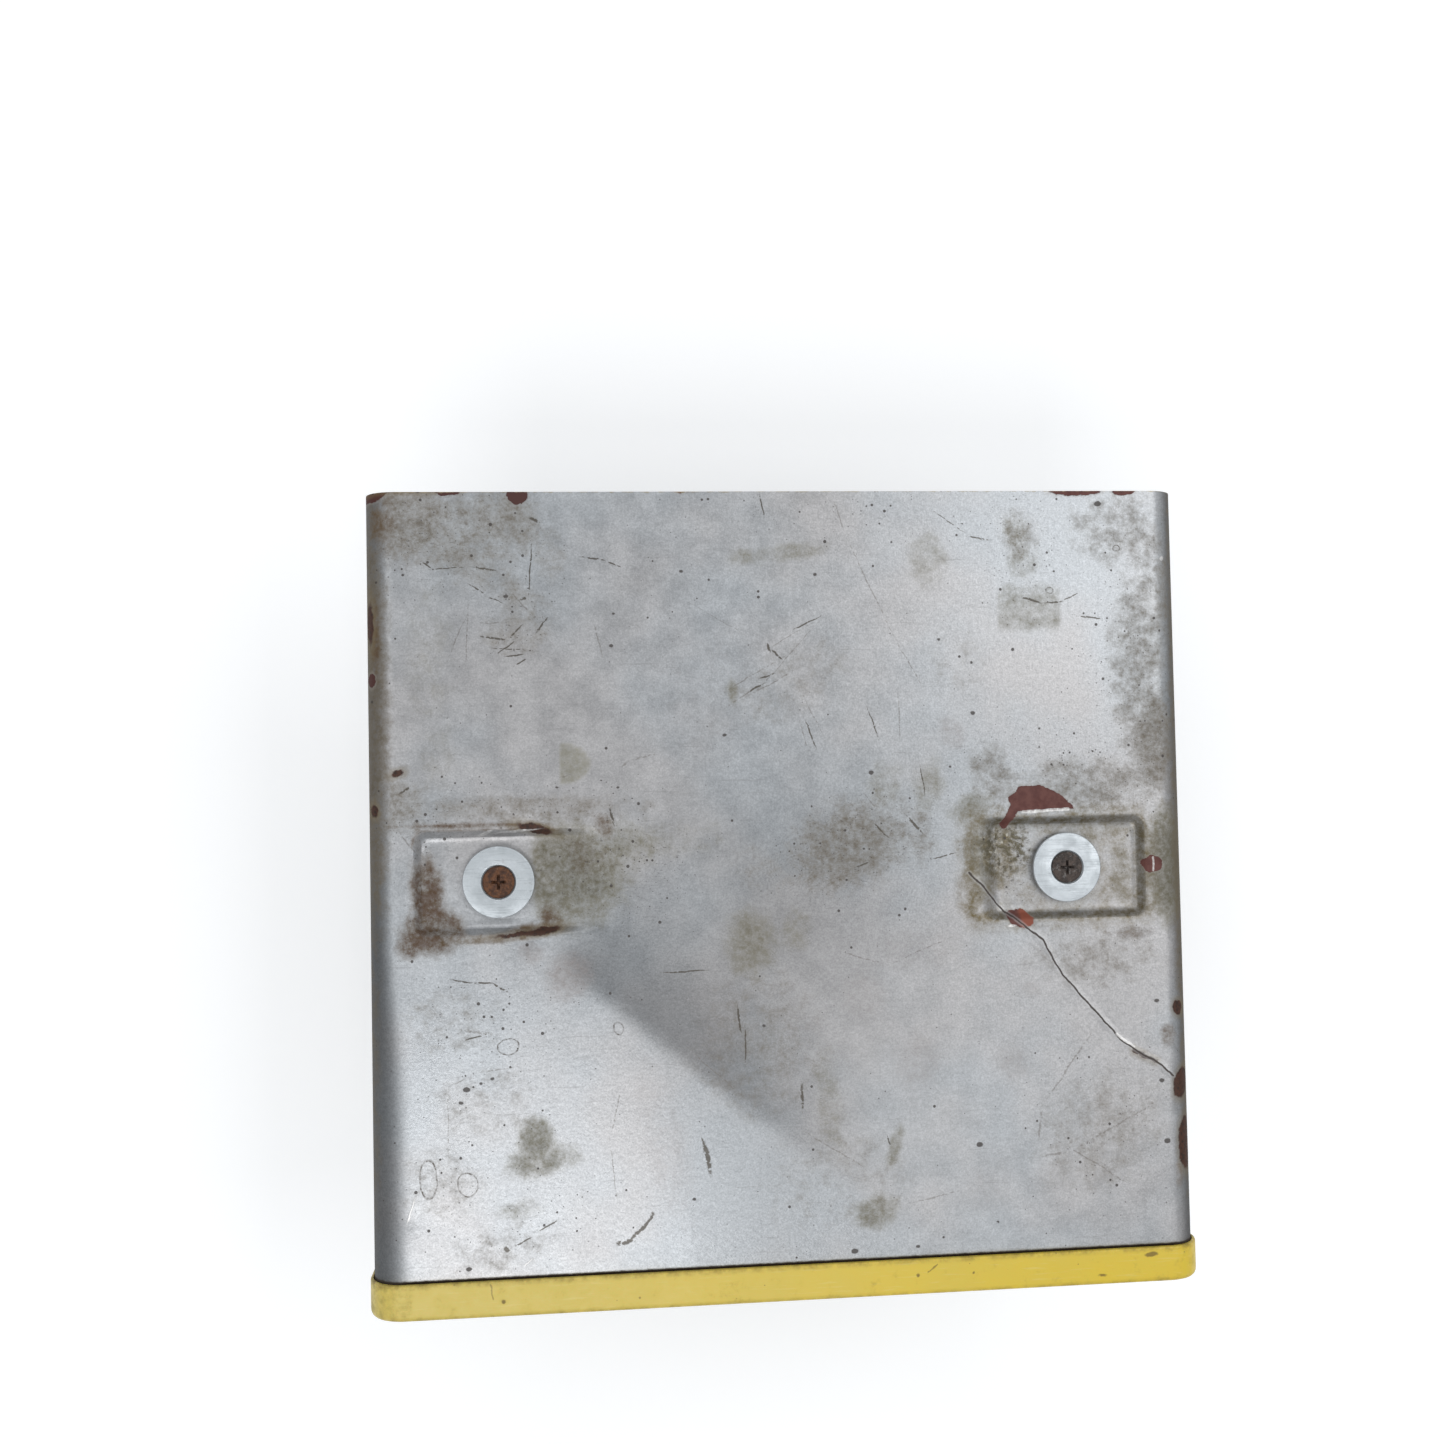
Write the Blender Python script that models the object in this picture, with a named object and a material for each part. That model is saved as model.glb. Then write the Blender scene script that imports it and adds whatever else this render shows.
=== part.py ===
"""Mortar hawk with a pressed steel board, a moulded front lip and a screwed-on wooden handle.

Metres, +Z up. The working face is the plane Z = 0, and the handle's axis is the Z axis, so the
origin is the point of the working face straight above the handle. The front lip is on the -Y side.
"""

import math

import bmesh
import bpy
from mathutils import Vector

MM = 0.001

# Gap left between pieces that touch.
GAP = 0.3 * MM

# Board: one sheet, rolled down along both sides.
BOARD_LENGTH = 289.0 * MM
SHEET_WIDTH = 297.5 * MM
SHEET = 1.2 * MM
EDGE_RADIUS = 11.0 * MM
FLANGE_DEPTH = 25.0 * MM
SCREW_LINE_BEHIND_MIDDLE = 6.2 * MM
FRONT_Y = -BOARD_LENGTH / 2 - SCREW_LINE_BEHIND_MIDDLE
REAR_Y = BOARD_LENGTH / 2 - SCREW_LINE_BEHIND_MIDDLE

# Wells pressed into the board, one round each screw.
SCREW_SPACING = 206.0 * MM
WELL_OUTER_X = 133.0 * MM
WELL_INNER_X = 73.0 * MM
WELL_WIDTH = 38.0 * MM
WELL_DEPTH = 3.6 * MM
WELL_WALL_RUN = 1.5 * MM
WELL_RAMP_RUN = 11.0 * MM
WELL_CORNER = 5.0 * MM
WELL_HOLE_RADIUS = 4.0 * MM

# Front lip: a moulded U section that follows the sheet round both edges.
LIP_WIDTH = 300.0 * MM
LIP_BAND = 12.7 * MM
LIP_PROUD = 2.0 * MM
LIP_WEB = 3.0 * MM
LIP_RADIUS = 12.0 * MM
LIP_INNER_LEG = 2.0 * MM
LIP_REBATE = 0.2 * MM
LIP_SCREW_X = (-112.0 * MM, -38.0 * MM, 38.0 * MM, 112.0 * MM)
LIP_SCREW_FROM_FRONT = 8.0 * MM
LIP_SCREW_RADIUS = 1.5 * MM
LIP_SCREW_HEAD_RADIUS = 2.8 * MM
LIP_SCREW_HEAD = 1.8 * MM
LIP_SCREW_TIP_Z = 0.9 * MM

# Well fasteners: M6 countersunk screw, penny washer, sealing washer, plain washer, spring, nut.
M6_RADIUS = 3.0 * MM
SCREW_HEAD_RADIUS = 5.7 * MM
PENNY_RADIUS = 12.65 * MM
PENNY_THICKNESS = 1.5 * MM
SEAL_RADIUS = 10.5 * MM
SEAL_THICKNESS = 0.8 * MM
PLAIN_WASHER_RADIUS = 6.0 * MM
PLAIN_WASHER_THICKNESS = 1.6 * MM
SPRING_WASHER_RADIUS = 5.6 * MM
SPRING_WASHER_THICKNESS = 1.6 * MM
M6_NUT_FLATS = 10.0 * MM
M6_NUT_HEIGHT = 5.0 * MM
SCREW_BEYOND_NUT = 2.0 * MM
RECESS_ARM = 3.0 * MM
RECESS_SLOT = 1.1 * MM
RECESS_DEPTH = 1.8 * MM

# Cross bar on the back of the board.
BAR_LENGTH = 250.0 * MM
BAR_WIDTH = 38.0 * MM
BAR_THICKNESS = 4.0 * MM
BAR_CORNER = 7.0 * MM
BAR_HOLE_RADIUS = 3.5 * MM

# Handle flange, riveted under the bar, and the stud in its boss.
HANDLE_FLANGE_RADIUS = 30.0 * MM
HANDLE_FLANGE_THICKNESS = 3.0 * MM
BOSS_RADIUS = 11.0 * MM
BOSS_DEPTH = 7.6 * MM
RIVET_X = 18.0 * MM
RIVET_Y = 12.0 * MM
RIVET_RADIUS = 2.5 * MM
RIVET_HEAD_RADIUS = 4.4 * MM
RIVET_HEAD = 1.8 * MM
RIVET_SINK = 1.2 * MM
STUD_RADIUS = 6.0 * MM
STUD_TIP_Z = -50.0 * MM

# Hand pad, handle and pommel, which stand one below the other on the stud's axis.
PAD_RADIUS = 45.0 * MM
PAD_THICKNESS = 14.0 * MM
PAD_ROUNDING = 5.0 * MM
THRUST_WASHER_RADIUS = 17.5 * MM
THRUST_WASHER_THICKNESS = 1.2 * MM
FERRULE_LENGTH = 13.5 * MM
FERRULE_RADIUS = 17.0 * MM
FERRULE_WALL = 1.2 * MM
INSERT_RADIUS = 9.0 * MM
INSERT_LENGTH = 25.0 * MM
GRIP_LENGTH = 114.5 * MM
GRIP_WAIST = 17.4 * MM
GRIP_SWELL = 3.8 * MM
GRIP_FLARE = 3.0 * MM
GRIP_WAIST_AT = 0.62
GRIP_FLARE_END = 0.9
POMMEL_RADIUS = 17.0 * MM
POMMEL_THICKNESS = 5.2 * MM
POMMEL_SCREW_RADIUS = 2.2 * MM
POMMEL_SCREW_HEAD_RADIUS = 4.6 * MM
POMMEL_SCREW_LENGTH = 28.0 * MM
POMMEL_SCREW_SUNK = 0.6 * MM

# Heights that follow from the stack of pieces, from the face downwards.
WELL_FLOOR_Z = -WELL_DEPTH
WELL_BACK_Z = WELL_FLOOR_Z - SHEET
SEAL_Z = WELL_FLOOR_Z + GAP
PENNY_Z = SEAL_Z + SEAL_THICKNESS + GAP
SCREW_TOP_Z = PENNY_Z + PENNY_THICKNESS
BAR_TOP_Z = WELL_BACK_Z - GAP
BAR_BACK_Z = BAR_TOP_Z - BAR_THICKNESS
PLAIN_WASHER_Z = BAR_BACK_Z - GAP - PLAIN_WASHER_THICKNESS
SPRING_WASHER_Z = PLAIN_WASHER_Z - GAP - SPRING_WASHER_THICKNESS
NUT_Z = SPRING_WASHER_Z - GAP - M6_NUT_HEIGHT
SCREW_TIP_Z = NUT_Z - SCREW_BEYOND_NUT
FLANGE_TOP_Z = BAR_BACK_Z - GAP
FLANGE_BACK_Z = FLANGE_TOP_Z - HANDLE_FLANGE_THICKNESS
BOSS_Z = FLANGE_BACK_Z - BOSS_DEPTH
PAD_TOP_Z = FLANGE_BACK_Z - GAP
PAD_Z = PAD_TOP_Z - PAD_THICKNESS
THRUST_WASHER_Z = PAD_Z - GAP - THRUST_WASHER_THICKNESS
GRIP_TOP_Z = THRUST_WASHER_Z - GAP
GRIP_Z = GRIP_TOP_Z - GRIP_LENGTH
POMMEL_TOP_Z = GRIP_Z - GAP
POMMEL_Z = POMMEL_TOP_Z - POMMEL_THICKNESS

# How many straight sides stand for a round.
FINE_SIDES = 32
SIDES = 20
SMALL_SIDES = 12
CORNER_STEPS = 5

SILVER_PAINT = ("silver_paint", (0.44, 0.46, 0.49), 0.42, 0.35)
YELLOW_PLASTIC = ("yellow_plastic", (0.68, 0.52, 0.08), 0.38, 0.0)
ZINC = ("zinc_plate", (0.72, 0.75, 0.78), 0.32, 1.0)
RUSTY_STEEL = ("rusty_steel", (0.16, 0.07, 0.035), 0.75, 0.4)
BARE_STEEL = ("bare_steel", (0.40, 0.40, 0.41), 0.42, 1.0)
BAR_PAINT = ("bar_paint", (0.22, 0.23, 0.25), 0.5, 0.2)
BLACK_RUBBER = ("black_rubber", (0.025, 0.025, 0.027), 0.8, 0.0)
DARK_FOAM = ("dark_foam", (0.05, 0.05, 0.055), 0.95, 0.0)
BEECH = ("beech", (0.42, 0.24, 0.11), 0.5, 0.0)
BRASS = ("brass", (0.62, 0.43, 0.16), 0.35, 1.0)


def clear_scene():
    """Remove every object of the file that the script runs in."""
    for old in list(bpy.data.objects):
        bpy.data.objects.remove(old, do_unlink=True)


def finish_material(look):
    """Return the Principled material of a (name, colour, roughness, metallic) look."""
    name, colour, roughness, metallic = look
    material = bpy.data.materials.get(name)
    if material is None:
        material = bpy.data.materials.new(name)
        material.use_nodes = True
        shader = material.node_tree.nodes["Principled BSDF"]
        shader.inputs["Base Color"].default_value = (*colour, 1.0)
        shader.inputs["Roughness"].default_value = roughness
        shader.inputs["Metallic"].default_value = metallic
    return material


def add_piece(name, shape, look, at=(0.0, 0.0, 0.0), parent=None):
    """Turn a bmesh into a named object with its own material."""
    bmesh.ops.recalc_face_normals(shape, faces=shape.faces)
    mesh = bpy.data.meshes.new(name)
    shape.to_mesh(mesh)
    shape.free()
    mesh.shade_smooth()
    mesh.set_sharp_from_angle(angle=math.radians(30))
    piece = bpy.data.objects.new(name, mesh)
    bpy.context.scene.collection.objects.link(piece)
    piece.location = at
    piece.parent = parent
    mesh.materials.append(finish_material(look))
    return piece


def add_cutter(name, shape):
    """Turn a bmesh into a hidden object that only shapes others."""
    cutter = add_piece(name, shape, BARE_STEEL)
    cutter.hide_render = True
    cutter.display_type = "WIRE"
    return cutter


def combine(piece, other, operation):
    """Join another solid to a piece, or cut it out of the piece."""
    step = piece.modifiers.new(other.name, "BOOLEAN")
    step.operation = operation
    step.solver = "EXACT"
    step.object = other


def ring(shape, radius, z, sides, centre=(0.0, 0.0)):
    """Add one horizontal circle of points, or a single point where the radius is zero."""
    if radius == 0.0:
        return [shape.verts.new((centre[0], centre[1], z))]
    turns = (2 * math.pi * i / sides for i in range(sides))
    return [
        shape.verts.new((centre[0] + radius * math.cos(a), centre[1] + radius * math.sin(a), z))
        for a in turns
    ]


def bridge(shape, lower, upper):
    """Add the faces between two loops, either of which may be a single point."""
    count = max(len(lower), len(upper))
    for i in range(count):
        j = (i + 1) % count
        low_pair = [lower[i % len(lower)], lower[j % len(lower)]]
        high_pair = [upper[j % len(upper)], upper[i % len(upper)]]
        shape.faces.new(list(dict.fromkeys(low_pair + high_pair)))


def turn_into(shape, profile, sides, centre=(0.0, 0.0)):
    """Turn a closed (radius, height) profile about a vertical axis, inside an existing bmesh."""
    loops = [ring(shape, radius, z, sides, centre) for radius, z in profile]
    for lower, upper in zip(loops, loops[1:] + loops[:1]):
        if len(lower) > 1 or len(upper) > 1:
            bridge(shape, lower, upper)


def turned(profile, sides=SIDES, centre=(0.0, 0.0)):
    """Return a new bmesh turned from a closed (radius, height) profile."""
    shape = bmesh.new()
    turn_into(shape, profile, sides, centre)
    return shape


def tube_profile(inner, outer, low, high, chamfer=0.0):
    """Profile of a plain ring with an optional chamfer on its outer corners."""
    if chamfer == 0.0:
        return [(inner, low), (outer, low), (outer, high), (inner, high)]
    return [
        (inner, low),
        (outer - chamfer, low),
        (outer, low + chamfer),
        (outer, high - chamfer),
        (outer - chamfer, high),
        (inner, high),
    ]


def prism_into(shape, outline, low, high, axis="Z"):
    """Extrude a flat outline along Z, or along Y for outlines given as (x, z)."""
    if axis == "Z":
        ends = [[shape.verts.new((u, v, level)) for u, v in outline] for level in (low, high)]
    else:
        ends = [[shape.verts.new((u, level, v)) for u, v in outline] for level in (low, high)]
    bridge(shape, ends[0], ends[1])
    shape.faces.new(ends[0])
    shape.faces.new(ends[1])


def arc_points(centre, radius, start, end, steps):
    """Points of an arc, its angles in degrees."""
    turns = (math.radians(start + (end - start) * i / steps) for i in range(steps + 1))
    return [(centre[0] + radius * math.cos(a), centre[1] + radius * math.sin(a)) for a in turns]


def rounded_rectangle(low, high, radius, steps):
    """Outline of a rectangle between two opposite corners, with rounded corners."""
    (x0, y0), (x1, y1) = low, high
    corners = [
        ((x1 - radius, y1 - radius), 0),
        ((x0 + radius, y1 - radius), 90),
        ((x0 + radius, y0 + radius), 180),
        ((x1 - radius, y0 + radius), 270),
    ]
    outline = []
    for centre, start in corners:
        outline += arc_points(centre, radius, start, start + 90, steps)
    return outline


def channel_outline(half_width, top, bottom, radius, thickness):
    """Section of a board with its sides rolled down: outer line, then inner line back."""
    outer = [(-half_width, bottom)]
    outer += arc_points((-half_width + radius, top - radius), radius, 180, 90, CORNER_STEPS)
    outer += arc_points((half_width - radius, top - radius), radius, 90, 0, CORNER_STEPS)
    outer.append((half_width, bottom))
    bend = radius - thickness
    side = half_width - thickness
    inner = [(side, bottom)]
    inner += arc_points((half_width - radius, top - radius), bend, 0, 90, CORNER_STEPS)
    inner += arc_points((-half_width + radius, top - radius), bend, 90, 180, CORNER_STEPS)
    inner.append((-side, bottom))
    return outer + inner


def loft(shape, levels):
    """Join outlines of equal length, each given with its height, into one closed solid."""
    loops = [[shape.verts.new((x, y, z)) for x, y in outline] for outline, z in levels]
    for lower, upper in zip(loops, loops[1:]):
        bridge(shape, lower, upper)
    shape.faces.new(loops[0])
    shape.faces.new(loops[-1])


def well_outline(side, grow, run, ramp):
    """Outline of one well; run and ramp shrink it towards its floor."""
    near = WELL_INNER_X + ramp - grow
    far = WELL_OUTER_X - run + grow
    half = WELL_WIDTH / 2 - run + grow
    radius = WELL_CORNER + grow - run / 2
    low_x, high_x = sorted((side * near, side * far))
    return rounded_rectangle((low_x, -half), (high_x, half), radius, CORNER_STEPS)


def well_solids(grow, top_z, rim_z, floor_z):
    """Both wells as tapered solids, straight above the rim and sloping down to the floor."""
    shape = bmesh.new()
    for side in (-1, 1):
        rim = well_outline(side, grow, 0.0, 0.0)
        floor = well_outline(side, grow, WELL_WALL_RUN, WELL_RAMP_RUN)
        levels = [(floor, floor_z), (rim, rim_z)]
        if top_z > rim_z:
            levels.append((rim, top_z))
        loft(shape, levels)
    return shape


def make_plate():
    """Sheet-steel board with rolled sides and two wells, a little thinner under the lip."""
    shape = bmesh.new()
    sheet_front = FRONT_Y + LIP_WEB + GAP
    outline = channel_outline(SHEET_WIDTH / 2, 0.0, -FLANGE_DEPTH, EDGE_RADIUS, SHEET)
    prism_into(shape, outline, sheet_front, REAR_Y, axis="Y")
    plate = add_piece("plate", shape, SILVER_PAINT)

    tubs = add_cutter("well_tubs", well_solids(SHEET, -SHEET / 2, -SHEET / 2, WELL_BACK_Z))
    hollows = add_cutter("well_hollows", well_solids(0.0, 2 * MM, 0.0, WELL_FLOOR_Z))

    holes = bmesh.new()
    for side in (-1, 1):
        drill(holes, (side * SCREW_SPACING / 2, 0.0), WELL_HOLE_RADIUS, WELL_BACK_Z - MM, MM)
    for x in LIP_SCREW_X:
        place = (x, FRONT_Y + LIP_SCREW_FROM_FRONT)
        drill(holes, place, LIP_SCREW_RADIUS + GAP, -SHEET - MM, MM)
    combine(plate, tubs, "UNION")
    combine(plate, hollows, "DIFFERENCE")
    combine(plate, add_cutter("plate_holes", holes), "DIFFERENCE")

    rebate = bmesh.new()
    reach = SHEET_WIDTH / 2 + MM
    outline = [(-reach, -LIP_REBATE), (reach, -LIP_REBATE), (reach, MM), (-reach, MM)]
    prism_into(rebate, outline, FRONT_Y, FRONT_Y + LIP_BAND, axis="Y")
    combine(plate, add_cutter("lip_rebate", rebate), "DIFFERENCE")
    return plate


def drill(shape, centre, radius, low, high):
    """Add one vertical cylinder to a cutter."""
    turn_into(shape, [(0.0, low), (radius, low), (radius, high), (0.0, high)], SIDES, centre)


def make_edge_cap():
    """Moulded lip: a U section that grips the sheet's front end and both rolled edges."""
    shape = bmesh.new()
    thickness = LIP_PROUD + SHEET + GAP + LIP_INNER_LEG
    outline = channel_outline(LIP_WIDTH / 2, LIP_PROUD, -FLANGE_DEPTH, LIP_RADIUS, thickness)
    prism_into(shape, outline, FRONT_Y, FRONT_Y + LIP_BAND, axis="Y")
    cap = add_piece("edge_cap", shape, YELLOW_PLASTIC)

    slot = bmesh.new()
    slot_outline = channel_outline(
        SHEET_WIDTH / 2 + GAP, GAP, -FLANGE_DEPTH - MM, EDGE_RADIUS + GAP, SHEET + 2 * GAP
    )
    prism_into(slot, slot_outline, FRONT_Y + LIP_WEB, FRONT_Y + LIP_BAND + MM, axis="Y")
    combine(cap, add_cutter("lip_slot", slot), "DIFFERENCE")

    holes = bmesh.new()
    for x in LIP_SCREW_X:
        place = (x, FRONT_Y + LIP_SCREW_FROM_FRONT)
        drill(holes, place, LIP_SCREW_RADIUS + GAP, -SHEET - 4 * MM, LIP_SCREW_TIP_Z + GAP)
    combine(cap, add_cutter("lip_holes", holes), "DIFFERENCE")
    return cap


def make_cap_screws():
    """Four small pan-head screws that hold the lip from below."""
    lip_back = -(SHEET + GAP + LIP_INNER_LEG)
    head_top = lip_back - GAP
    head_low = head_top - LIP_SCREW_HEAD
    soft = 0.6 * MM
    profile = [
        (0.0, LIP_SCREW_TIP_Z),
        (LIP_SCREW_RADIUS, LIP_SCREW_TIP_Z - soft),
        (LIP_SCREW_RADIUS, head_top),
        (LIP_SCREW_HEAD_RADIUS, head_top),
        (LIP_SCREW_HEAD_RADIUS, head_low + soft),
        (LIP_SCREW_HEAD_RADIUS - soft, head_low),
        (0.0, head_low),
    ]
    for number, x in enumerate(LIP_SCREW_X, start=1):
        place = (x, FRONT_Y + LIP_SCREW_FROM_FRONT, 0.0)
        add_piece(f"cap_screw_{number}", turned(profile, SMALL_SIDES), BARE_STEEL, at=place)


def cross_recess(centre, top, depth):
    """Cutter for a cross-shaped driver recess that narrows towards its bottom."""
    tips = [(1, 0), (0, 1), (-1, 0), (0, -1)]

    def outline(arm, slot):
        points = []
        for dx, dy in tips:
            side = Vector((-dy, dx)) * slot / 2
            tip = Vector((dx, dy)) * arm
            inner = Vector((dx - dy, dx + dy)) * slot / 2
            points += [tip - side, tip + side, inner]
        return [(centre[0] + p.x, centre[1] + p.y) for p in points]

    shape = bmesh.new()
    bottom = outline(RECESS_ARM * 0.45, RECESS_SLOT * 0.7)
    loft(shape, [(bottom, top - depth), (outline(RECESS_ARM, RECESS_SLOT), top + 0.5 * MM)])
    return shape


def make_well_fasteners(side, label):
    """The stack of one well, from the screw's head down to its nut."""
    place = (side * SCREW_SPACING / 2, 0.0, 0.0)
    cone = SCREW_HEAD_RADIUS - M6_RADIUS
    edge = 0.25 * MM
    tip = 0.8 * MM
    screw = turned([
        (0.0, SCREW_TOP_Z),
        (SCREW_HEAD_RADIUS - edge, SCREW_TOP_Z),
        (SCREW_HEAD_RADIUS, SCREW_TOP_Z - edge),
        (M6_RADIUS, SCREW_TOP_Z - edge - cone),
        (M6_RADIUS, SCREW_TIP_Z + tip),
        (M6_RADIUS - tip, SCREW_TIP_Z),
        (0.0, SCREW_TIP_Z),
    ])
    screw = add_piece("well_screw_" + label, screw, RUSTY_STEEL, at=place)
    recess = add_cutter("recess_" + label, cross_recess((0.0, 0.0), SCREW_TOP_Z, RECESS_DEPTH))
    recess.location = place
    combine(screw, recess, "DIFFERENCE")

    sunk_top = SCREW_HEAD_RADIUS + 0.45 * MM
    penny_top = PENNY_Z + PENNY_THICKNESS
    penny = turned([
        (sunk_top - PENNY_THICKNESS + edge, PENNY_Z),
        (PENNY_RADIUS - edge, PENNY_Z),
        (PENNY_RADIUS, PENNY_Z + edge),
        (PENNY_RADIUS, penny_top - edge),
        (PENNY_RADIUS - edge, penny_top),
        (sunk_top, penny_top),
        (sunk_top, penny_top - edge),
    ], FINE_SIDES)
    add_piece("penny_washer_" + label, penny, ZINC, at=place)

    seal = tube_profile(SCREW_HEAD_RADIUS - MM, SEAL_RADIUS, SEAL_Z, SEAL_Z + SEAL_THICKNESS)
    add_piece("sealing_washer_" + label, turned(seal), BLACK_RUBBER, at=place)

    plain_top = PLAIN_WASHER_Z + PLAIN_WASHER_THICKNESS
    plain = tube_profile(M6_RADIUS + GAP, PLAIN_WASHER_RADIUS, PLAIN_WASHER_Z, plain_top, edge)
    add_piece("bar_washer_" + label, turned(plain), ZINC, at=place)
    make_spring_washer("spring_washer_" + label, place)
    make_nut("hex_nut_" + label, place)


def make_spring_washer(name, place):
    """Split ring with its two ends cut apart."""
    split = 16
    outer = arc_points((0.0, 0.0), SPRING_WASHER_RADIUS, split / 2, 360 - split / 2, SIDES)
    inner = arc_points((0.0, 0.0), M6_RADIUS + GAP, 360 - split, split, SIDES)
    shape = bmesh.new()
    low = SPRING_WASHER_Z
    prism_into(shape, outer + inner, low, low + SPRING_WASHER_THICKNESS)
    return add_piece(name, shape, ZINC, at=place)


def make_nut(name, place):
    """Hexagon nut with chamfered corners and a plain bore."""
    corner = M6_NUT_FLATS / math.sqrt(3)
    shape = bmesh.new()
    prism_into(shape, arc_points((0.0, 0.0), corner, 0, 300, 5), NUT_Z, NUT_Z + M6_NUT_HEIGHT)
    nut = add_piece(name, shape, ZINC, at=place)

    chamfer = turned([
        (0.0, NUT_Z - MM),
        (corner - 2.2 * MM, NUT_Z - MM),
        (corner + 1.0 * MM, NUT_Z + MM),
        (corner + 1.0 * MM, NUT_Z + M6_NUT_HEIGHT - MM),
        (corner - 2.2 * MM, NUT_Z + M6_NUT_HEIGHT + MM),
        (0.0, NUT_Z + M6_NUT_HEIGHT + MM),
    ])
    cone = add_cutter(name + "_chamfer", chamfer)
    cone.location = place
    combine(nut, cone, "INTERSECT")

    bore = bmesh.new()
    drill(bore, (0.0, 0.0), M6_RADIUS + GAP, NUT_Z - MM, NUT_Z + M6_NUT_HEIGHT + MM)
    bore = add_cutter(name + "_bore", bore)
    bore.location = place
    combine(nut, bore, "DIFFERENCE")
    return nut


def rivet_places():
    """The four corners that the flange is riveted at."""
    return [(sx * RIVET_X, sy * RIVET_Y) for sx in (-1, 1) for sy in (-1, 1)]


def make_cross_bar():
    """Flat bar that both screws clamp to the back of the wells."""
    shape = bmesh.new()
    corner = (BAR_LENGTH / 2, BAR_WIDTH / 2)
    outline = rounded_rectangle((-corner[0], -corner[1]), corner, BAR_CORNER, CORNER_STEPS)
    prism_into(shape, outline, BAR_BACK_Z, BAR_TOP_Z)
    bar = add_piece("cross_bar", shape, BAR_PAINT)

    holes = bmesh.new()
    for side in (-1, 1):
        place = (side * SCREW_SPACING / 2, 0.0)
        drill(holes, place, BAR_HOLE_RADIUS, BAR_BACK_Z - MM, BAR_TOP_Z + MM)
    for place in rivet_places():
        drill(holes, place, RIVET_RADIUS + GAP, BAR_BACK_Z - MM, BAR_TOP_Z + MM)
    combine(bar, add_cutter("bar_holes", holes), "DIFFERENCE")
    return bar


def make_handle_flange():
    """Round flange with a boss, bored for the stud and countersunk for its rivets."""
    bore = STUD_RADIUS + GAP
    soft = 0.8 * MM
    shape = turned([
        (bore, FLANGE_TOP_Z),
        (bore, BOSS_Z),
        (BOSS_RADIUS - soft, BOSS_Z),
        (BOSS_RADIUS, BOSS_Z + soft),
        (BOSS_RADIUS, FLANGE_BACK_Z + soft),
        (BOSS_RADIUS + soft, FLANGE_BACK_Z),
        (HANDLE_FLANGE_RADIUS - soft, FLANGE_BACK_Z),
        (HANDLE_FLANGE_RADIUS, FLANGE_BACK_Z + soft),
        (HANDLE_FLANGE_RADIUS, FLANGE_TOP_Z),
    ], FINE_SIDES)
    flange = add_piece("handle_flange", shape, BARE_STEEL)

    holes = bmesh.new()
    hole = RIVET_RADIUS + GAP
    wide = RIVET_HEAD_RADIUS + GAP
    profile = [
        (0.0, FLANGE_TOP_Z + MM),
        (hole, FLANGE_TOP_Z + MM),
        (hole, FLANGE_BACK_Z + RIVET_SINK + GAP),
        (wide, FLANGE_BACK_Z),
        (wide, FLANGE_BACK_Z - MM),
        (0.0, FLANGE_BACK_Z - MM),
    ]
    for place in rivet_places():
        turn_into(holes, profile, SMALL_SIDES, place)
    combine(flange, add_cutter("flange_holes", holes), "DIFFERENCE")
    return flange


def make_flange_rivets():
    """Four rivets: domed heads on the bar, sunk heads in the flange."""
    seat = BAR_TOP_Z + GAP
    profile = [(0.0, FLANGE_BACK_Z), (RIVET_HEAD_RADIUS, FLANGE_BACK_Z)]
    profile.append((RIVET_RADIUS, FLANGE_BACK_Z + RIVET_SINK))
    profile.append((RIVET_RADIUS, seat))
    dome_steps = 4
    for i in range(dome_steps):
        turn = math.pi / 2 * i / dome_steps
        profile.append((RIVET_HEAD_RADIUS * math.cos(turn), seat + RIVET_HEAD * math.sin(turn)))
    profile.append((0.0, seat + RIVET_HEAD))
    for number, (x, y) in enumerate(rivet_places(), start=1):
        rivet = turned(profile, SMALL_SIDES)
        add_piece(f"flange_rivet_{number}", rivet, BARE_STEEL, at=(x, y, 0.0))


def make_handle_stud():
    """Threaded stud, drawn at its outer diameter with a chamfered tip."""
    tip = 1.2 * MM
    shape = turned([
        (0.0, FLANGE_TOP_Z),
        (STUD_RADIUS, FLANGE_TOP_Z),
        (STUD_RADIUS, STUD_TIP_Z + tip),
        (STUD_RADIUS - tip, STUD_TIP_Z),
        (0.0, STUD_TIP_Z),
    ])
    return add_piece("handle_stud", shape, BARE_STEEL)


def make_hand_pad(parent):
    """Round foam pad with soft edges, hollowed above for the flange's boss."""
    bore = STUD_RADIUS + 2 * GAP
    pocket = BOSS_RADIUS + GAP
    inset = PAD_RADIUS - PAD_ROUNDING
    profile = [(bore, PAD_Z)]
    profile += arc_points((inset, PAD_Z + PAD_ROUNDING), PAD_ROUNDING, 270, 360, 5)
    profile += arc_points((inset, PAD_TOP_Z - PAD_ROUNDING), PAD_ROUNDING, 0, 90, 5)
    profile += [(pocket, PAD_TOP_Z), (pocket, BOSS_Z - GAP), (bore, BOSS_Z - GAP)]
    return add_piece("hand_pad", turned(profile, FINE_SIDES), DARK_FOAM, parent=parent)


def make_thrust_washer(parent):
    """Steel washer that the handle turns against."""
    top = THRUST_WASHER_Z + THRUST_WASHER_THICKNESS
    inner = STUD_RADIUS + 2 * GAP
    profile = tube_profile(inner, THRUST_WASHER_RADIUS, THRUST_WASHER_Z, top, 0.25 * MM)
    return add_piece("thrust_washer", turned(profile, FINE_SIDES), BARE_STEEL, parent=parent)


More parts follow.
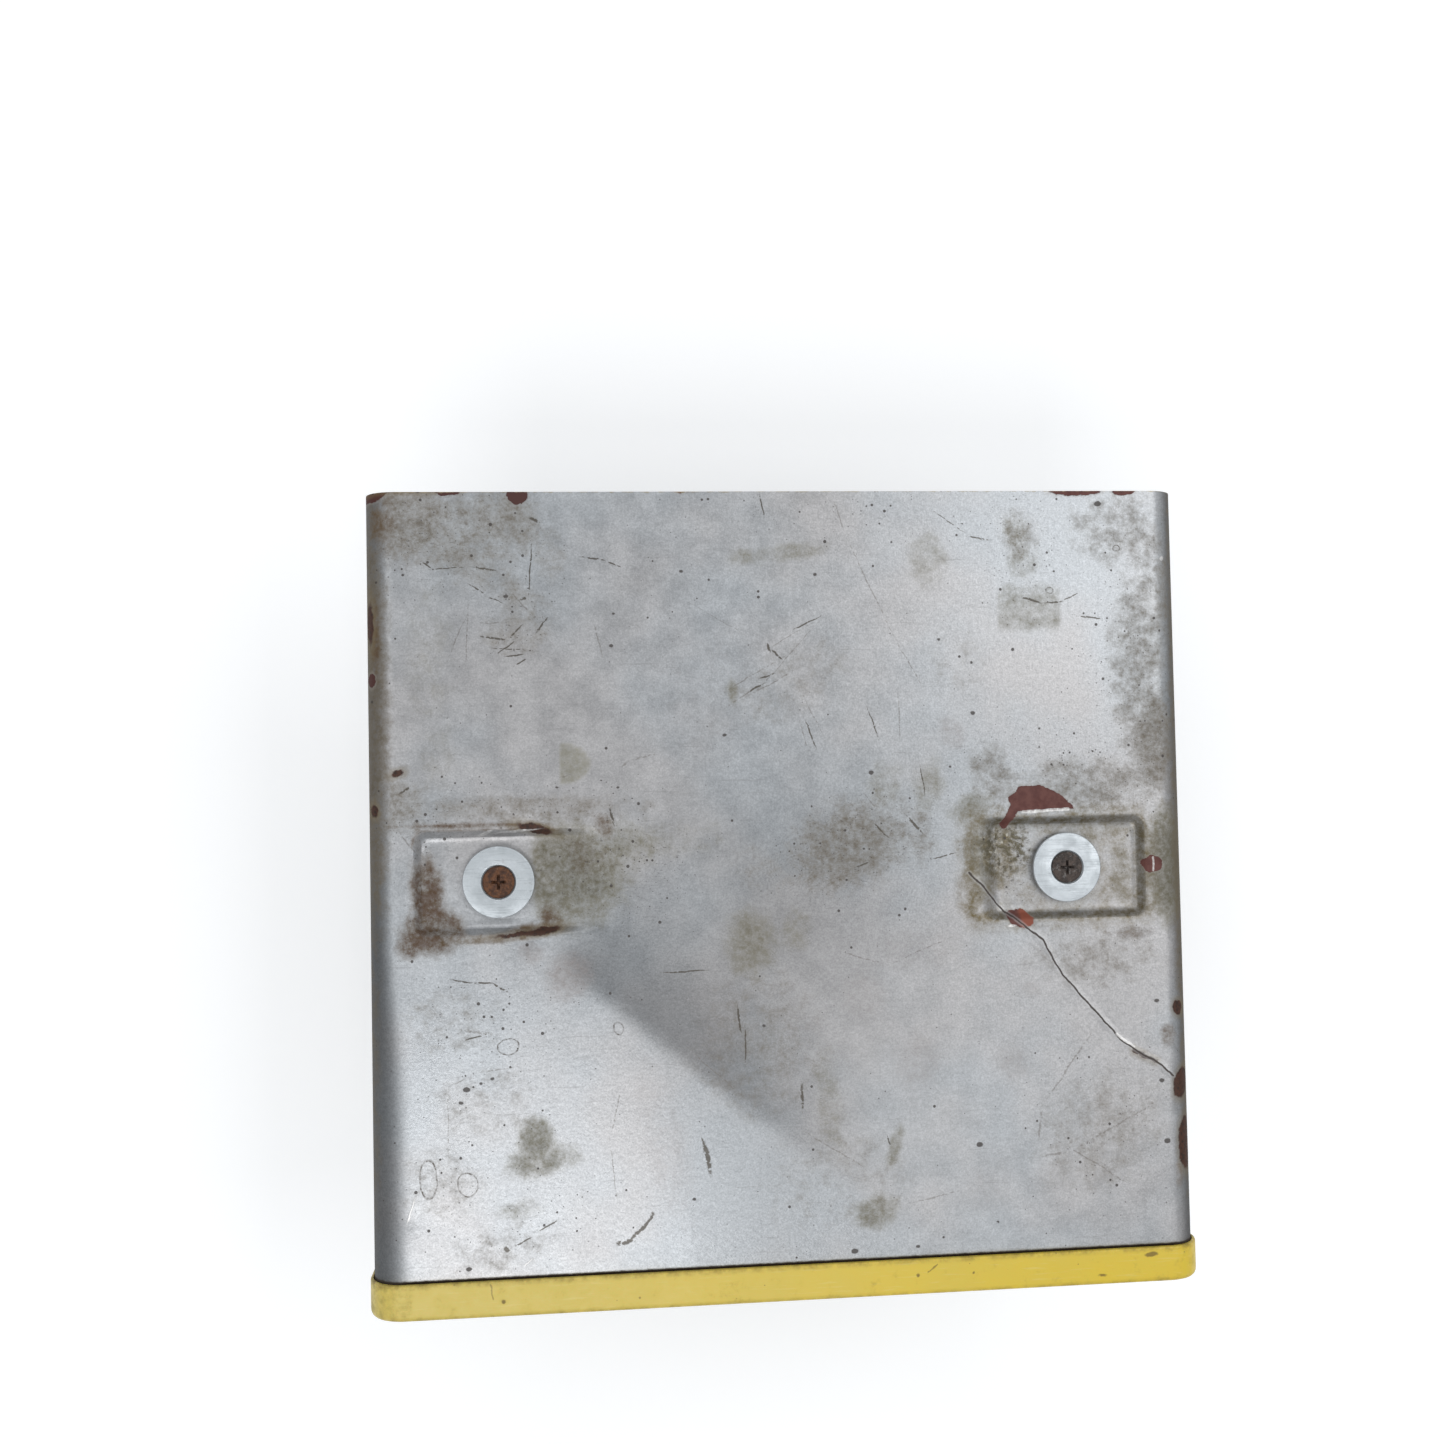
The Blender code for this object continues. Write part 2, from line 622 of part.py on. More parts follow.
def grip_radius(along):
    """Radius of the turned grip at a fraction of its length below the ferrule."""
    if along < GRIP_WAIST_AT:
        turn = 2 * math.pi * along / GRIP_WAIST_AT
        return GRIP_WAIST + GRIP_SWELL * (1 - math.cos(turn)) / 2
    flare = min((along - GRIP_WAIST_AT) / (GRIP_FLARE_END - GRIP_WAIST_AT), 1.0)
    return GRIP_WAIST + GRIP_FLARE * math.sin(math.pi / 2 * flare)


def make_grip(parent):
    """Turned handle with a neck for the ferrule, a bore for the insert and a pilot hole below."""
    neck = FERRULE_RADIUS - FERRULE_WALL - GAP
    shoulder_z = GRIP_TOP_Z - FERRULE_LENGTH - GAP
    insert_bore = INSERT_RADIUS + GAP
    insert_floor = GRIP_TOP_Z - INSERT_LENGTH - GAP
    stud_bore = STUD_RADIUS + 2 * GAP
    pilot = POMMEL_SCREW_RADIUS + GAP
    pilot_top = POMMEL_Z + POMMEL_SCREW_SUNK + POMMEL_SCREW_LENGTH + MM
    end_round = 3.0 * MM
    body_length = shoulder_z - GRIP_Z - end_round
    body_steps = 12

    profile = [(0.0, STUD_TIP_Z - 6 * MM), (stud_bore, STUD_TIP_Z - 6 * MM)]
    profile += [(stud_bore, insert_floor), (insert_bore, insert_floor), (insert_bore, GRIP_TOP_Z)]
    profile += [(neck, GRIP_TOP_Z), (neck, shoulder_z)]
    for i in range(body_steps + 1):
        along = i / body_steps
        profile.append((grip_radius(along), shoulder_z - along * body_length))
    widest = grip_radius(1.0)
    profile += arc_points((widest - end_round, GRIP_Z + end_round), end_round, 0, -90, 3)[1:]
    profile += [(pilot, GRIP_Z), (pilot, pilot_top), (0.0, pilot_top + MM)]
    return add_piece("grip", turned(profile, FINE_SIDES), BEECH, parent=parent)


def make_ferrule(parent):
    """Steel ring round the grip's neck."""
    low = GRIP_TOP_Z - FERRULE_LENGTH
    inner = FERRULE_RADIUS - FERRULE_WALL
    profile = tube_profile(inner, FERRULE_RADIUS, low, GRIP_TOP_Z, 0.4 * MM)
    return add_piece("ferrule", turned(profile, FINE_SIDES), BARE_STEEL, parent=parent)


def make_thread_insert(parent):
    """Brass insert that runs on the stud."""
    low = GRIP_TOP_Z - INSERT_LENGTH
    profile = tube_profile(STUD_RADIUS + GAP, INSERT_RADIUS, low, GRIP_TOP_Z, 0.4 * MM)
    return add_piece("thread_insert", turned(profile), BRASS, parent=parent)


def make_pommel_cap(parent):
    """Flat cap at the handle's end, countersunk for its screw."""
    hole = POMMEL_SCREW_RADIUS + GAP
    wide = POMMEL_SCREW_HEAD_RADIUS + 1.5 * GAP
    sink = wide - hole
    edge = 1.2 * MM
    shape = turned([
        (hole, POMMEL_TOP_Z),
        (hole, POMMEL_Z + POMMEL_SCREW_SUNK + sink),
        (wide, POMMEL_Z + POMMEL_SCREW_SUNK),
        (wide, POMMEL_Z),
        (POMMEL_RADIUS - edge, POMMEL_Z),
        (POMMEL_RADIUS, POMMEL_Z + edge),
        (POMMEL_RADIUS, POMMEL_TOP_Z),
    ], FINE_SIDES)
    return add_piece("pommel_cap", shape, BARE_STEEL, parent=parent)


def make_pommel_screw(parent):
    """Countersunk wood screw on the handle's axis."""
    head_z = POMMEL_Z + POMMEL_SCREW_SUNK
    cone = POMMEL_SCREW_HEAD_RADIUS - POMMEL_SCREW_RADIUS
    tip_z = head_z + POMMEL_SCREW_LENGTH
    taper = 5.0 * MM
    shape = turned([
        (0.0, head_z),
        (POMMEL_SCREW_HEAD_RADIUS, head_z),
        (POMMEL_SCREW_RADIUS, head_z + cone),
        (POMMEL_SCREW_RADIUS, tip_z - taper),
        (0.0, tip_z),
    ])
    return add_piece("pommel_screw", shape, BARE_STEEL, parent=parent)


def add_axis(name, parent=None):
    """Empty on the handle's axis, which the pieces that move with it hang on."""
    axis = bpy.data.objects.new(name, None)
    bpy.context.scene.collection.objects.link(axis)
    axis.parent = parent
    return axis


def main():
    clear_scene()
    make_plate()
    make_edge_cap()
    make_cap_screws()
    for side, label in ((-1, "left"), (1, "right")):
        make_well_fasteners(side, label)
    make_cross_bar()
    make_handle_flange()
    make_flange_rivets()
    make_handle_stud()

    pad_axis = add_axis("pad_axis")
    make_hand_pad(pad_axis)
    make_thrust_washer(pad_axis)

    handle_axis = add_axis("handle_axis", parent=pad_axis)
    make_ferrule(handle_axis)
    make_grip(handle_axis)
    make_thread_insert(handle_axis)
    make_pommel_cap(handle_axis)
    make_pommel_screw(handle_axis)


main()
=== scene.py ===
"""Looks of the mortar hawk: worn silver paint, soiled yellow lip, zinc washers, rusty screws and a
wooden handle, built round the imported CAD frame. Metres; lengths written in millimetres use MM."""

import math

import bmesh
import bpy
import numpy as np
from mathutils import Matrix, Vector


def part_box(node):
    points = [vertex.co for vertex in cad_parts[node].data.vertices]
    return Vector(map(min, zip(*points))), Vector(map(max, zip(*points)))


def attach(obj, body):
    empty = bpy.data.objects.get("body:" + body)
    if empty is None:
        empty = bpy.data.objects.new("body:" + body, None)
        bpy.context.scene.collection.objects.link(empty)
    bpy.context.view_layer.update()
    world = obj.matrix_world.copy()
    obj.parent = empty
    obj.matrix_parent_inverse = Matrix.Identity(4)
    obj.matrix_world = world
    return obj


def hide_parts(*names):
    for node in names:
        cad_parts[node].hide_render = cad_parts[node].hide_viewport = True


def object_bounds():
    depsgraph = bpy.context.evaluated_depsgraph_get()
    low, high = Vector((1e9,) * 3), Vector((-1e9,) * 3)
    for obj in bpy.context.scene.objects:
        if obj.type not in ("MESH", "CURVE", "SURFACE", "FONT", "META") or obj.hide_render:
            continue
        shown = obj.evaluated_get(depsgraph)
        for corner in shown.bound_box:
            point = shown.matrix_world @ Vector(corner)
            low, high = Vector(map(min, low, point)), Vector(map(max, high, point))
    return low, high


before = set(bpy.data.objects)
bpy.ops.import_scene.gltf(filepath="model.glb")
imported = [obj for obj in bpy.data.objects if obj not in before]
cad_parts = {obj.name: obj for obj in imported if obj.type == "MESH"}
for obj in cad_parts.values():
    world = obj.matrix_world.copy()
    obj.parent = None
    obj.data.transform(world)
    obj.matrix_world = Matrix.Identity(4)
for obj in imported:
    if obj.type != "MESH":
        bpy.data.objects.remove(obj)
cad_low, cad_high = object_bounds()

MM = 0.001

# Edges that turn by more than this many degrees stay sharp.
SHARP = 35.0
SHEET_SHARP = 40.0

# Places taken from the CAD nodes, in millimetres.
plate_low, plate_high = (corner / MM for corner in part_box("plate"))
lip_low, lip_high = (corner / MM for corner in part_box("edge_cap"))
screw_low, screw_high = (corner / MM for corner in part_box("well_screw_right"))
SHEET = 1.2
HALF_WIDTH = plate_high.x
FLANGE_LOW = plate_low.z
REAR_Y = plate_high.y
SHEET_FRONT_Y = plate_low.y
EDGE_RADIUS = 11.0
FLAT_HALF = HALF_WIDTH - EDGE_RADIUS
LIP_FRONT_Y = lip_low.y
LIP_REAR_Y = lip_high.y
LIP_TOP = lip_high.z
SCREW_X = (screw_low.x + screw_high.x) / 2

# Wells of the board, in millimetres from the handle's axis.
WELL_FAR = 133.0
WELL_HALF = 19.0
WELL_CORNER = 5.0
WELL_DEPTH = 3.6
WELL_WALL = 3.8
WELL_RAMP = {-1: (63.0, 87.0), 1: (69.5, 79.0)}

# Camera of the photograph: almost straight above the board, a little to the left of its middle.
CAMERA_AT = Vector((-0.0711, 0.0375, 0.5160))
CAMERA_TURN = (1.94, -5.36, -0.95)
CAMERA_LENS = 36.05


# ---------------------------------------------------------------- shader helper


class Look:
    """A Principled material and short names for the nodes that feed it."""

    def __init__(self, name):
        self.material = bpy.data.materials.new(name)
        self.material.use_nodes = True
        self.tree = self.material.node_tree
        self.shader = self.tree.nodes["Principled BSDF"]
        place = self.node("ShaderNodeTexCoord").outputs["Object"]
        self.at = self.vector("SCALE", place, scale=1 / MM)

    def node(self, kind, inputs=None, **settings):
        made = self.tree.nodes.new(kind)
        for key, value in settings.items():
            setattr(made, key, value)
        for key, value in (inputs or {}).items():
            self.feed(made.inputs[key], value)
        return made

    def feed(self, socket, value):
        if isinstance(value, bpy.types.NodeSocket):
            self.tree.links.new(value, socket)
        else:
            socket.default_value = value

    def set(self, **values):
        """Feed the shader's sockets, named with underscores for spaces."""
        for key, value in values.items():
            self.feed(self.shader.inputs[key.replace("_", " ")], value)

    def math(self, operation, *values):
        return self.node("ShaderNodeMath", dict(enumerate(values)), operation=operation).outputs[0]

    def times(self, first, second):
        return self.math("MULTIPLY", first, second)

    def plus(self, first, second):
        return self.math("ADD", first, second)

    def minus(self, first, second):
        return self.math("SUBTRACT", first, second)

    def layer(self, under, tone, cover, strength):
        """Lay a tone over a colour where the cover is, at some strength."""
        return self.mix(self.times(cover, strength), under, tone)

    def vector(self, operation, *values, scale=None):
        inputs = dict(enumerate(values))
        if scale is not None:
            inputs["Scale"] = scale
        made = self.node("ShaderNodeVectorMath", inputs, operation=operation)
        scalar = operation in ("LENGTH", "DOT_PRODUCT", "DISTANCE")
        return made.outputs["Value" if scalar else "Vector"]

    def noise(self, scale, detail=3.0, roughness=0.55, at=None, colour=False):
        inputs = {
            "Vector": self.at if at is None else at,
            "Scale": scale,
            "Detail": detail,
            "Roughness": roughness,
        }
        made = self.node("ShaderNodeTexNoise", inputs)
        return made.outputs["Color" if colour else "Fac"]

    def fade(self, value, low, high, to_low=0.0, to_high=1.0):
        """Smooth step of a value from low to high, onto another range."""
        inputs = {"Value": value, 1: low, 2: high, 3: to_low, 4: to_high}
        made = self.node("ShaderNodeMapRange", inputs, interpolation_type="SMOOTHSTEP")
        return made.outputs[0]

    def mix(self, share, first, second, blend="MIX"):
        made = self.node("ShaderNodeMix", data_type="RGBA", blend_type=blend)
        self.feed(made.inputs[0], share)
        self.feed(made.inputs[6], first if not isinstance(first, tuple) else (*first, 1.0))
        self.feed(made.inputs[7], second if not isinstance(second, tuple) else (*second, 1.0))
        return made.outputs[2]

    def attribute(self, name):
        return self.node("ShaderNodeAttribute", attribute_name=name).outputs["Fac"]

    def split(self, vector):
        return self.node("ShaderNodeSeparateXYZ", {0: vector}).outputs

    def stretched(self, turn, stretch, at=None):
        """Coordinates turned about Z by some degrees and squeezed along their new X."""
        inputs = {
            "Vector": self.at if at is None else at,
            "Rotation": (0.0, 0.0, math.radians(turn)),
            "Scale": stretch,
        }
        return self.node("ShaderNodeMapping", inputs).outputs[0]

    def shaken(self, steps, at=None):
        """Coordinates moved about by noise, given as (scale, distance) steps."""
        place = self.at if at is None else at
        for scale, distance in steps:
            push = self.vector("SUBTRACT", self.noise(scale, 2.0, at=at, colour=True), (0.5,) * 3)
            push = self.vector("MULTIPLY", push, (distance, distance, 0.0))
            place = self.vector("ADD", place, push)
        return place

    def bump(self, height, distance, under=None):
        """Normal of a height field, whose full range stands for a distance in millimetres."""
        inputs = {"Height": height, "Distance": distance * MM}
        if under is not None:
            inputs["Normal"] = under
        return self.node("ShaderNodeBump", inputs).outputs[0]

    def nearest(self, fields):
        """Lowest of several values; a generator keeps the shader's memory small."""
        result = None
        for field in fields:
            result = field if result is None else self.math("MINIMUM", result, field)
        return result

    def farthest(self, fields):
        """Highest of several values."""
        result = None
        for field in fields:
            result = field if result is None else self.math("MAXIMUM", result, field)
        return result

    def outlines(self, at, items):
        """How far a point lies outside the nearest of several outlines."""
        return self.nearest(getattr(self, kind)(at, *rest) for kind, *rest in items)

    def ring(self, at, centre, radii, turn):
        """How far a point lies outside a thin elliptical line, in millimetres."""
        half_width = 0.12
        edge = self.math("ABSOLUTE", self.ellipse(at, centre, radii, turn))
        return self.minus(edge, half_width)

    def along(self, at, direction, origin, unit=1.0):
        """Signed distance from an origin along a direction, in units of some millimetres."""
        a, b = direction[0] / unit, direction[1] / unit
        return self.vector("DOT_PRODUCT", at, (a, b, -(a * origin[0] + b * origin[1])))

    def squares(self, u, v):
        return self.math("MULTIPLY_ADD", u, u, self.times(v, v))

    def ellipse(self, at, centre, radii, turn=0.0):
        """About how far a point lies outside an ellipse, in millimetres."""
        angle = math.radians(turn)
        u = self.along(at, (math.cos(angle), math.sin(angle)), centre, radii[0])
        v = self.along(at, (-math.sin(angle), math.cos(angle)), centre, radii[1])
        reach = self.math("SQRT", self.squares(u, v))
        return self.math("MULTIPLY_ADD", reach, min(radii), -min(radii))

    def stroke(self, at, start, end, half_width):
        """How far a point lies outside a straight stroke with round ends, in millimetres."""
        run = Vector(end) - Vector(start)
        middle = (Vector(start) + Vector(end)) / 2
        way = run.normalized()
        u = self.math("ABSOLUTE", self.along(at, way, middle))
        u = self.math("MAXIMUM", self.minus(u, run.length / 2), 0.0)
        v = self.along(at, (-way.y, way.x), middle)
        return self.minus(self.math("SQRT", self.squares(u, v)), half_width)

    def polyline(self, at, points, half_width):
        return self.nearest(self.stroke(at, a, b, half_width) for a, b in zip(points, points[1:]))

    def polygon(self, at, corners):
        """How far a point lies outside a convex polygon given anticlockwise, in millimetres."""

        def side(a, b):
            run = (Vector(b) - Vector(a)).normalized()
            return self.along(at, (run.y, -run.x), a)

        return self.farthest(side(a, b) for a, b in zip(corners, corners[1:] + corners[:1]))

    def flat_at(self):
        """Place on the board as (x, y, 1), so that a dot product can also shift it."""
        return self.vector("MULTIPLY_ADD", self.at, (1.0, 1.0, 0.0), (0.0, 0.0, 1.0))


# ---------------------------------------------------------------- mesh helpers


def smooth_step(value):
    value = np.clip(value, 0.0, 1.0)
    return value * value * (3 - 2 * value)


def make_piece(name, points, faces, materials, body, nodes=(), sharp=SHARP):
    """Build a mesh from points in millimetres and hang it on its body."""
    mesh = bpy.data.meshes.new(name)
    mesh.from_pydata([tuple(p) for p in np.asarray(points) * MM], [], faces)
    mesh.validate()
    for look in materials:
        mesh.materials.append(look.material)
    piece = bpy.data.objects.new(name, mesh)
    bpy.context.scene.collection.objects.link(piece)
    shade(mesh, sharp)
    finish_piece(piece, body, nodes)
    return piece


def shade(mesh, sharp):
    mesh.shade_smooth()
    mesh.set_sharp_from_angle(angle=math.radians(sharp))


def finish_piece(piece, body, nodes):
    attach(piece, body)
    if nodes:
        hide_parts(*nodes)


def outward(mesh):
    """Turn a closed mesh's faces outwards."""
    shape = bmesh.new()
    shape.from_mesh(mesh)
    bmesh.ops.recalc_face_normals(shape, faces=shape.faces)
    shape.to_mesh(mesh)
    shape.free()


def fillet(points, radii, steps=4):
    """Round the corners of a closed outline; radii has one radius for each point."""
    result = []
    count = len(points)
    for i, radius in enumerate(radii):
        here = Vector(points[i])
        back = Vector(points[i - 1]) - here
        on = Vector(points[(i + 1) % count]) - here
        if radius <= 0.0 or back.length == 0.0 or on.length == 0.0:
            result.append(tuple(here))
            continue
        half = back.angle(on) / 2
        cut = min(radius / math.tan(half), 0.49 * back.length, 0.49 * on.length)
        start = here + back.normalized() * cut
        end = here + on.normalized() * cut
        for k in range(steps + 1):
            t = k / steps
            result.append(tuple((1 - t) ** 2 * start + 2 * t * (1 - t) * here + t * t * end))
    return result


def threaded(name, radius, depth, pitch, low, high, materials, body, nodes=()):
    """Screw thread about the Z axis as one helical surface, with its ends chamfered."""
    sides = 48
    rows_per_turn = 8
    rows = int((high - low) / pitch * rows_per_turn) + 1
    heights = np.linspace(low, high, rows)
    turns = np.linspace(0, 2 * math.pi, sides, endpoint=False)
    z, a = np.meshgrid(heights, turns, indexing="ij")
    phase = (z / pitch - a / (2 * math.pi)) % 1.0
    # Flat crests and roots with straight flanks between them.
    ridge = np.clip(1.25 - np.abs(phase * 2 - 1) * 1.5, 0.0, 1.0)
    chamfer = np.clip(np.minimum(z - low, high - z) / pitch, 0.0, 1.0)
    reach = radius - depth + depth * ridge * chamfer
    points = np.stack([reach * np.cos(a), reach * np.sin(a), z], -1).reshape(-1, 3)
    faces = []
    for i in range(rows - 1):
        for j in range(sides):
            k = (j + 1) % sides
            faces.append((i * sides + j, i * sides + k, (i + 1) * sides + k, (i + 1) * sides + j))
    faces.append(tuple(range(sides))[::-1])
    faces.append(tuple(range((rows - 1) * sides, rows * sides)))
    return make_piece(name, points, faces, materials, body, nodes, sharp=50.0)


def scratch_object(name, shape):
    mesh = bpy.data.meshes.new(name)
    bmesh.ops.recalc_face_normals(shape, faces=shape.faces)
    shape.to_mesh(mesh)
    shape.free()
    made = bpy.data.objects.new(name, mesh)
    bpy.context.scene.collection.objects.link(made)
    return made


def turned_shape(profile, at=(0.0, 0.0), sides=64):
    """Closed bmesh, in metres, turned from a closed (radius, height) outline in millimetres."""
    shape = bmesh.new()
    turns = [2 * math.pi * i / sides for i in range(sides)]
    loops = []
    for radius, z in profile:
        if radius < 1e-6:
            loops.append([shape.verts.new((at[0] * MM, at[1] * MM, z * MM))])
            continue
        ring = [((at[0] + radius * math.cos(a)) * MM, (at[1] + radius * math.sin(a)) * MM) for a in turns]
        loops.append([shape.verts.new((x, y, z * MM)) for x, y in ring])
    for low, high in zip(loops, loops[1:] + loops[:1]):
        if len(low) == 1 and len(high) == 1:
            continue
        for i in range(sides):
            j = (i + 1) % sides
            corners = [low[i % len(low)], low[j % len(low)], high[j % len(high)], high[i % len(high)]]
            shape.faces.new(list(dict.fromkeys(corners)))
    return shape


def prism_shape(levels):
    """Closed bmesh, in metres, through outlines of equal length given with their heights."""
    shape = bmesh.new()
    loops = [[shape.verts.new((x * MM, y * MM, z * MM)) for x, y in outline] for outline, z in levels]
    for low, high in zip(loops, loops[1:]):
        for i in range(len(low)):
            j = (i + 1) % len(low)
            shape.faces.new((low[i], low[j], high[j], high[i]))
    shape.faces.new(loops[0])
    shape.faces.new(loops[-1])
    return shape


def add_shape(node, shape, looks, body, sharp=SHARP, bevel=0.0):
    """Turn a bmesh into the visible piece that stands for a CAD node."""
    piece = scratch_object("fine_" + node, shape)
    for look in looks:
        piece.data.materials.append(look.material)
    if bevel > 0.0:
        step = piece.modifiers.new("soften", "BEVEL")
        step.width = bevel * MM
        step.segments = 3
        step.limit_method = "ANGLE"
        step.angle_limit = math.radians(40)
        apply_modifiers(piece)
    shade(piece.data, sharp)
    finish_piece(piece, body, (node,))
    return piece


def apply_modifiers(piece):
    """Bake a piece's modifiers into its mesh."""
    depsgraph = bpy.context.evaluated_depsgraph_get()
    mesh = bpy.data.meshes.new_from_object(piece.evaluated_get(depsgraph))
    old = piece.data
    piece.modifiers.clear()
    piece.data = mesh
    bpy.data.meshes.remove(old)


def cut(piece, cutter, operation="DIFFERENCE", sharp=SHARP):
    """Shape a piece with a scratch object, which is used up."""
    step = piece.modifiers.new("cut", "BOOLEAN")
    step.operation = operation
    step.solver = "EXACT"
    step.object = cutter
    apply_modifiers(piece)
    bpy.data.objects.remove(cutter)
    shade(piece.data, sharp)


def drill(piece, place, radius, low, high, sides=32, sharp=SHARP):
    """Cut a round upright hole between two heights, all in millimetres."""
    profile = [(0.0, low), (radius, low), (radius, high), (0.0, high)]
    cut(piece, scratch_object("drill", turned_shape(profile, place, sides)), sharp=sharp)


def cross_cutter(centre, top, arm, slot, depth, facing=1):
    """Scratch object for a cross recess; facing is 1 for a head that looks up, -1 for down."""

    def outline(reach, width):
        points = []
        for dx, dy in ((1, 0), (0, 1), (-1, 0), (0, -1)):
            side = Vector((-dy, dx)) * width / 2
            tip = Vector((dx, dy)) * reach
            inner = Vector((dx - dy, dx + dy)) * width / 2
            points += [tip - side, tip + side, inner]
        return [(centre[0] + p.x, centre[1] + p.y) for p in points]

    bottom = (outline(arm * 0.45, slot * 0.6), top - facing * depth)
    mouth = (outline(arm, slot), top + facing * 0.5)
    return scratch_object("cross", prism_shape([bottom, mouth]))


def paint(mesh, name, values):
    """Store one number per point for a material to read."""
    layer = mesh.attributes.new(name, "FLOAT", "POINT")
    layer.data.foreach_set("value", np.asarray(values, np.float32))


def points_of(mesh):
    flat = np.zeros(len(mesh.vertices) * 3)
    mesh.vertices.foreach_get("co", flat)
    return flat.reshape(-1, 3).T / MM


# ---------------------------------------------------------------- board shape

# Dents in millimetres: place, radius, depth.
DENTS = [
    ((-108, 20.5), 6, 0.45),
    ((-93, 19), 5, 0.55),
    ((-92, -18.5), 5, 0.4),
    ((-136, -116), 4.5, 0.5),
    ((90, 26), 9, 0.25),
    ((86, -20), 5, 0.35),
    ((118, -60), 14, 0.2),
]
# How far the sheet dips under the lip, and how high its waves are, in millimetres.
LIP_REBATE = 0.2
WAVE = 0.16
# Grid of the board: its step, the finer step at the walls of the wells, and how far that goes
# towards a well's middle and away from it, in millimetres.
GRID_STEP = 1.6
FINE_STEP = 0.45
FINE_INSIDE = 3.0
FINE_OUTSIDE = 2.0
# How far each well's outline starts before its ramp, in millimetres.
RAMP_MARGIN = {-1: 8.0, 1: 4.0}


def wall_zones(reach):
    """Fine zones of the grid at the two walls that lie this far from the board's middle."""
    return [(reach - FINE_INSIDE, reach + FINE_OUTSIDE), (-reach - FINE_OUTSIDE, -reach + FINE_INSIDE)]


def grid_lines(low, high, fine_zones, exact=()):
    """Rising list of grid positions, closer together in the fine zones."""
    parts = [np.arange(low, high, GRID_STEP), [high]]
    parts += [np.arange(a, b, FINE_STEP) for a, b in fine_zones]
    values = np.unique(np.concatenate(parts))
    values = values[[all(abs(v - e) > 0.1 for e in exact) for v in values]]
    values = np.unique(np.concatenate([values, exact]))
    gaps = np.diff(values, prepend=values[0] - GRID_STEP)
    fixed = np.isin(values, [low, high, *exact])
    return values[(gaps > 0.4 * FINE_STEP) | fixed]


def rim_distance(x, y, side, grow=0.0):
    """Distance outside a well's rounded outline, in millimetres; negative inside."""
    near = WELL_RAMP[side][0] - RAMP_MARGIN[side]
    far = WELL_FAR + grow
    out_x = np.maximum(np.abs(side * x - (near + far) / 2) - (far - near) / 2 + WELL_CORNER, 0.0)
    out_y = np.maximum(np.abs(y) - WELL_HALF - grow + WELL_CORNER, 0.0)
    return np.hypot(out_x, out_y) - WELL_CORNER


def well_depth(x, y, grow=0.0):
    """How deep the board is pressed in, with steep walls on three sides and a ramp inwards."""
    depth = np.zeros_like(x)
    for side, (start, end) in WELL_RAMP.items():
        wall = smooth_step(-rim_distance(x, y, side, grow) / WELL_WALL)
        ramp = smooth_step((side * x - start + grow) / (end - start))
        depth = np.maximum(depth, WELL_DEPTH * wall * ramp)
    return depth


def dent_depth(x, y):
    """Shallow waves and dents of a used sheet."""
    waves = 0.5 + 0.25 * np.sin(x / 29.0 + 1.1) * np.sin(y / 34.0) + 0.25 * np.sin((x + y) / 47.0)
    depth = WAVE * waves
    for (cx, cy), radius, deep in DENTS:
        depth = depth + deep * np.exp(-((x - cx) ** 2 + (y - cy) ** 2) / radius**2)
    return depth


def channel(half_width, top, radius, bottom, flat_x):
    """Section of a board with rolled sides, left to right: rows of x, z, normal x, normal z."""
    centre = half_width - radius
    rows = [(-half_width, z, -1.0, 0.0) for z in np.linspace(bottom, top - radius, 9)[:-1]]
    for turn in np.linspace(math.pi, math.pi / 2, 17)[:-1]:
        nx, nz = math.cos(turn), math.sin(turn)
        rows.append((-centre + radius * nx, top - radius + radius * nz, nx, nz))
    mirrored = [(-x, z, -nx, nz) for x, z, nx, nz in reversed(rows)]
    return np.array(rows + [(x, top, 0.0, 1.0) for x in flat_x] + mirrored)


def sheet_surface(section, y_lines, inner):
    """Grid of points of the sheet's outer or inner surface."""
    x, z, nx, nz = (np.repeat(column[:, None], len(y_lines), 1) for column in section.T)
    y = np.repeat(y_lines[None, :], len(section), 0)
    push = (well_depth(x, y, SHEET if inner else 0.0) + dent_depth(x, y)) * nz**3
    x = x - push * nx
    z = z - push * nz
    if not inner:
        z = np.where(y < LIP_REAR_Y + 0.01, np.minimum(z, -LIP_REBATE), z)
    return np.stack([x, y, z], -1)


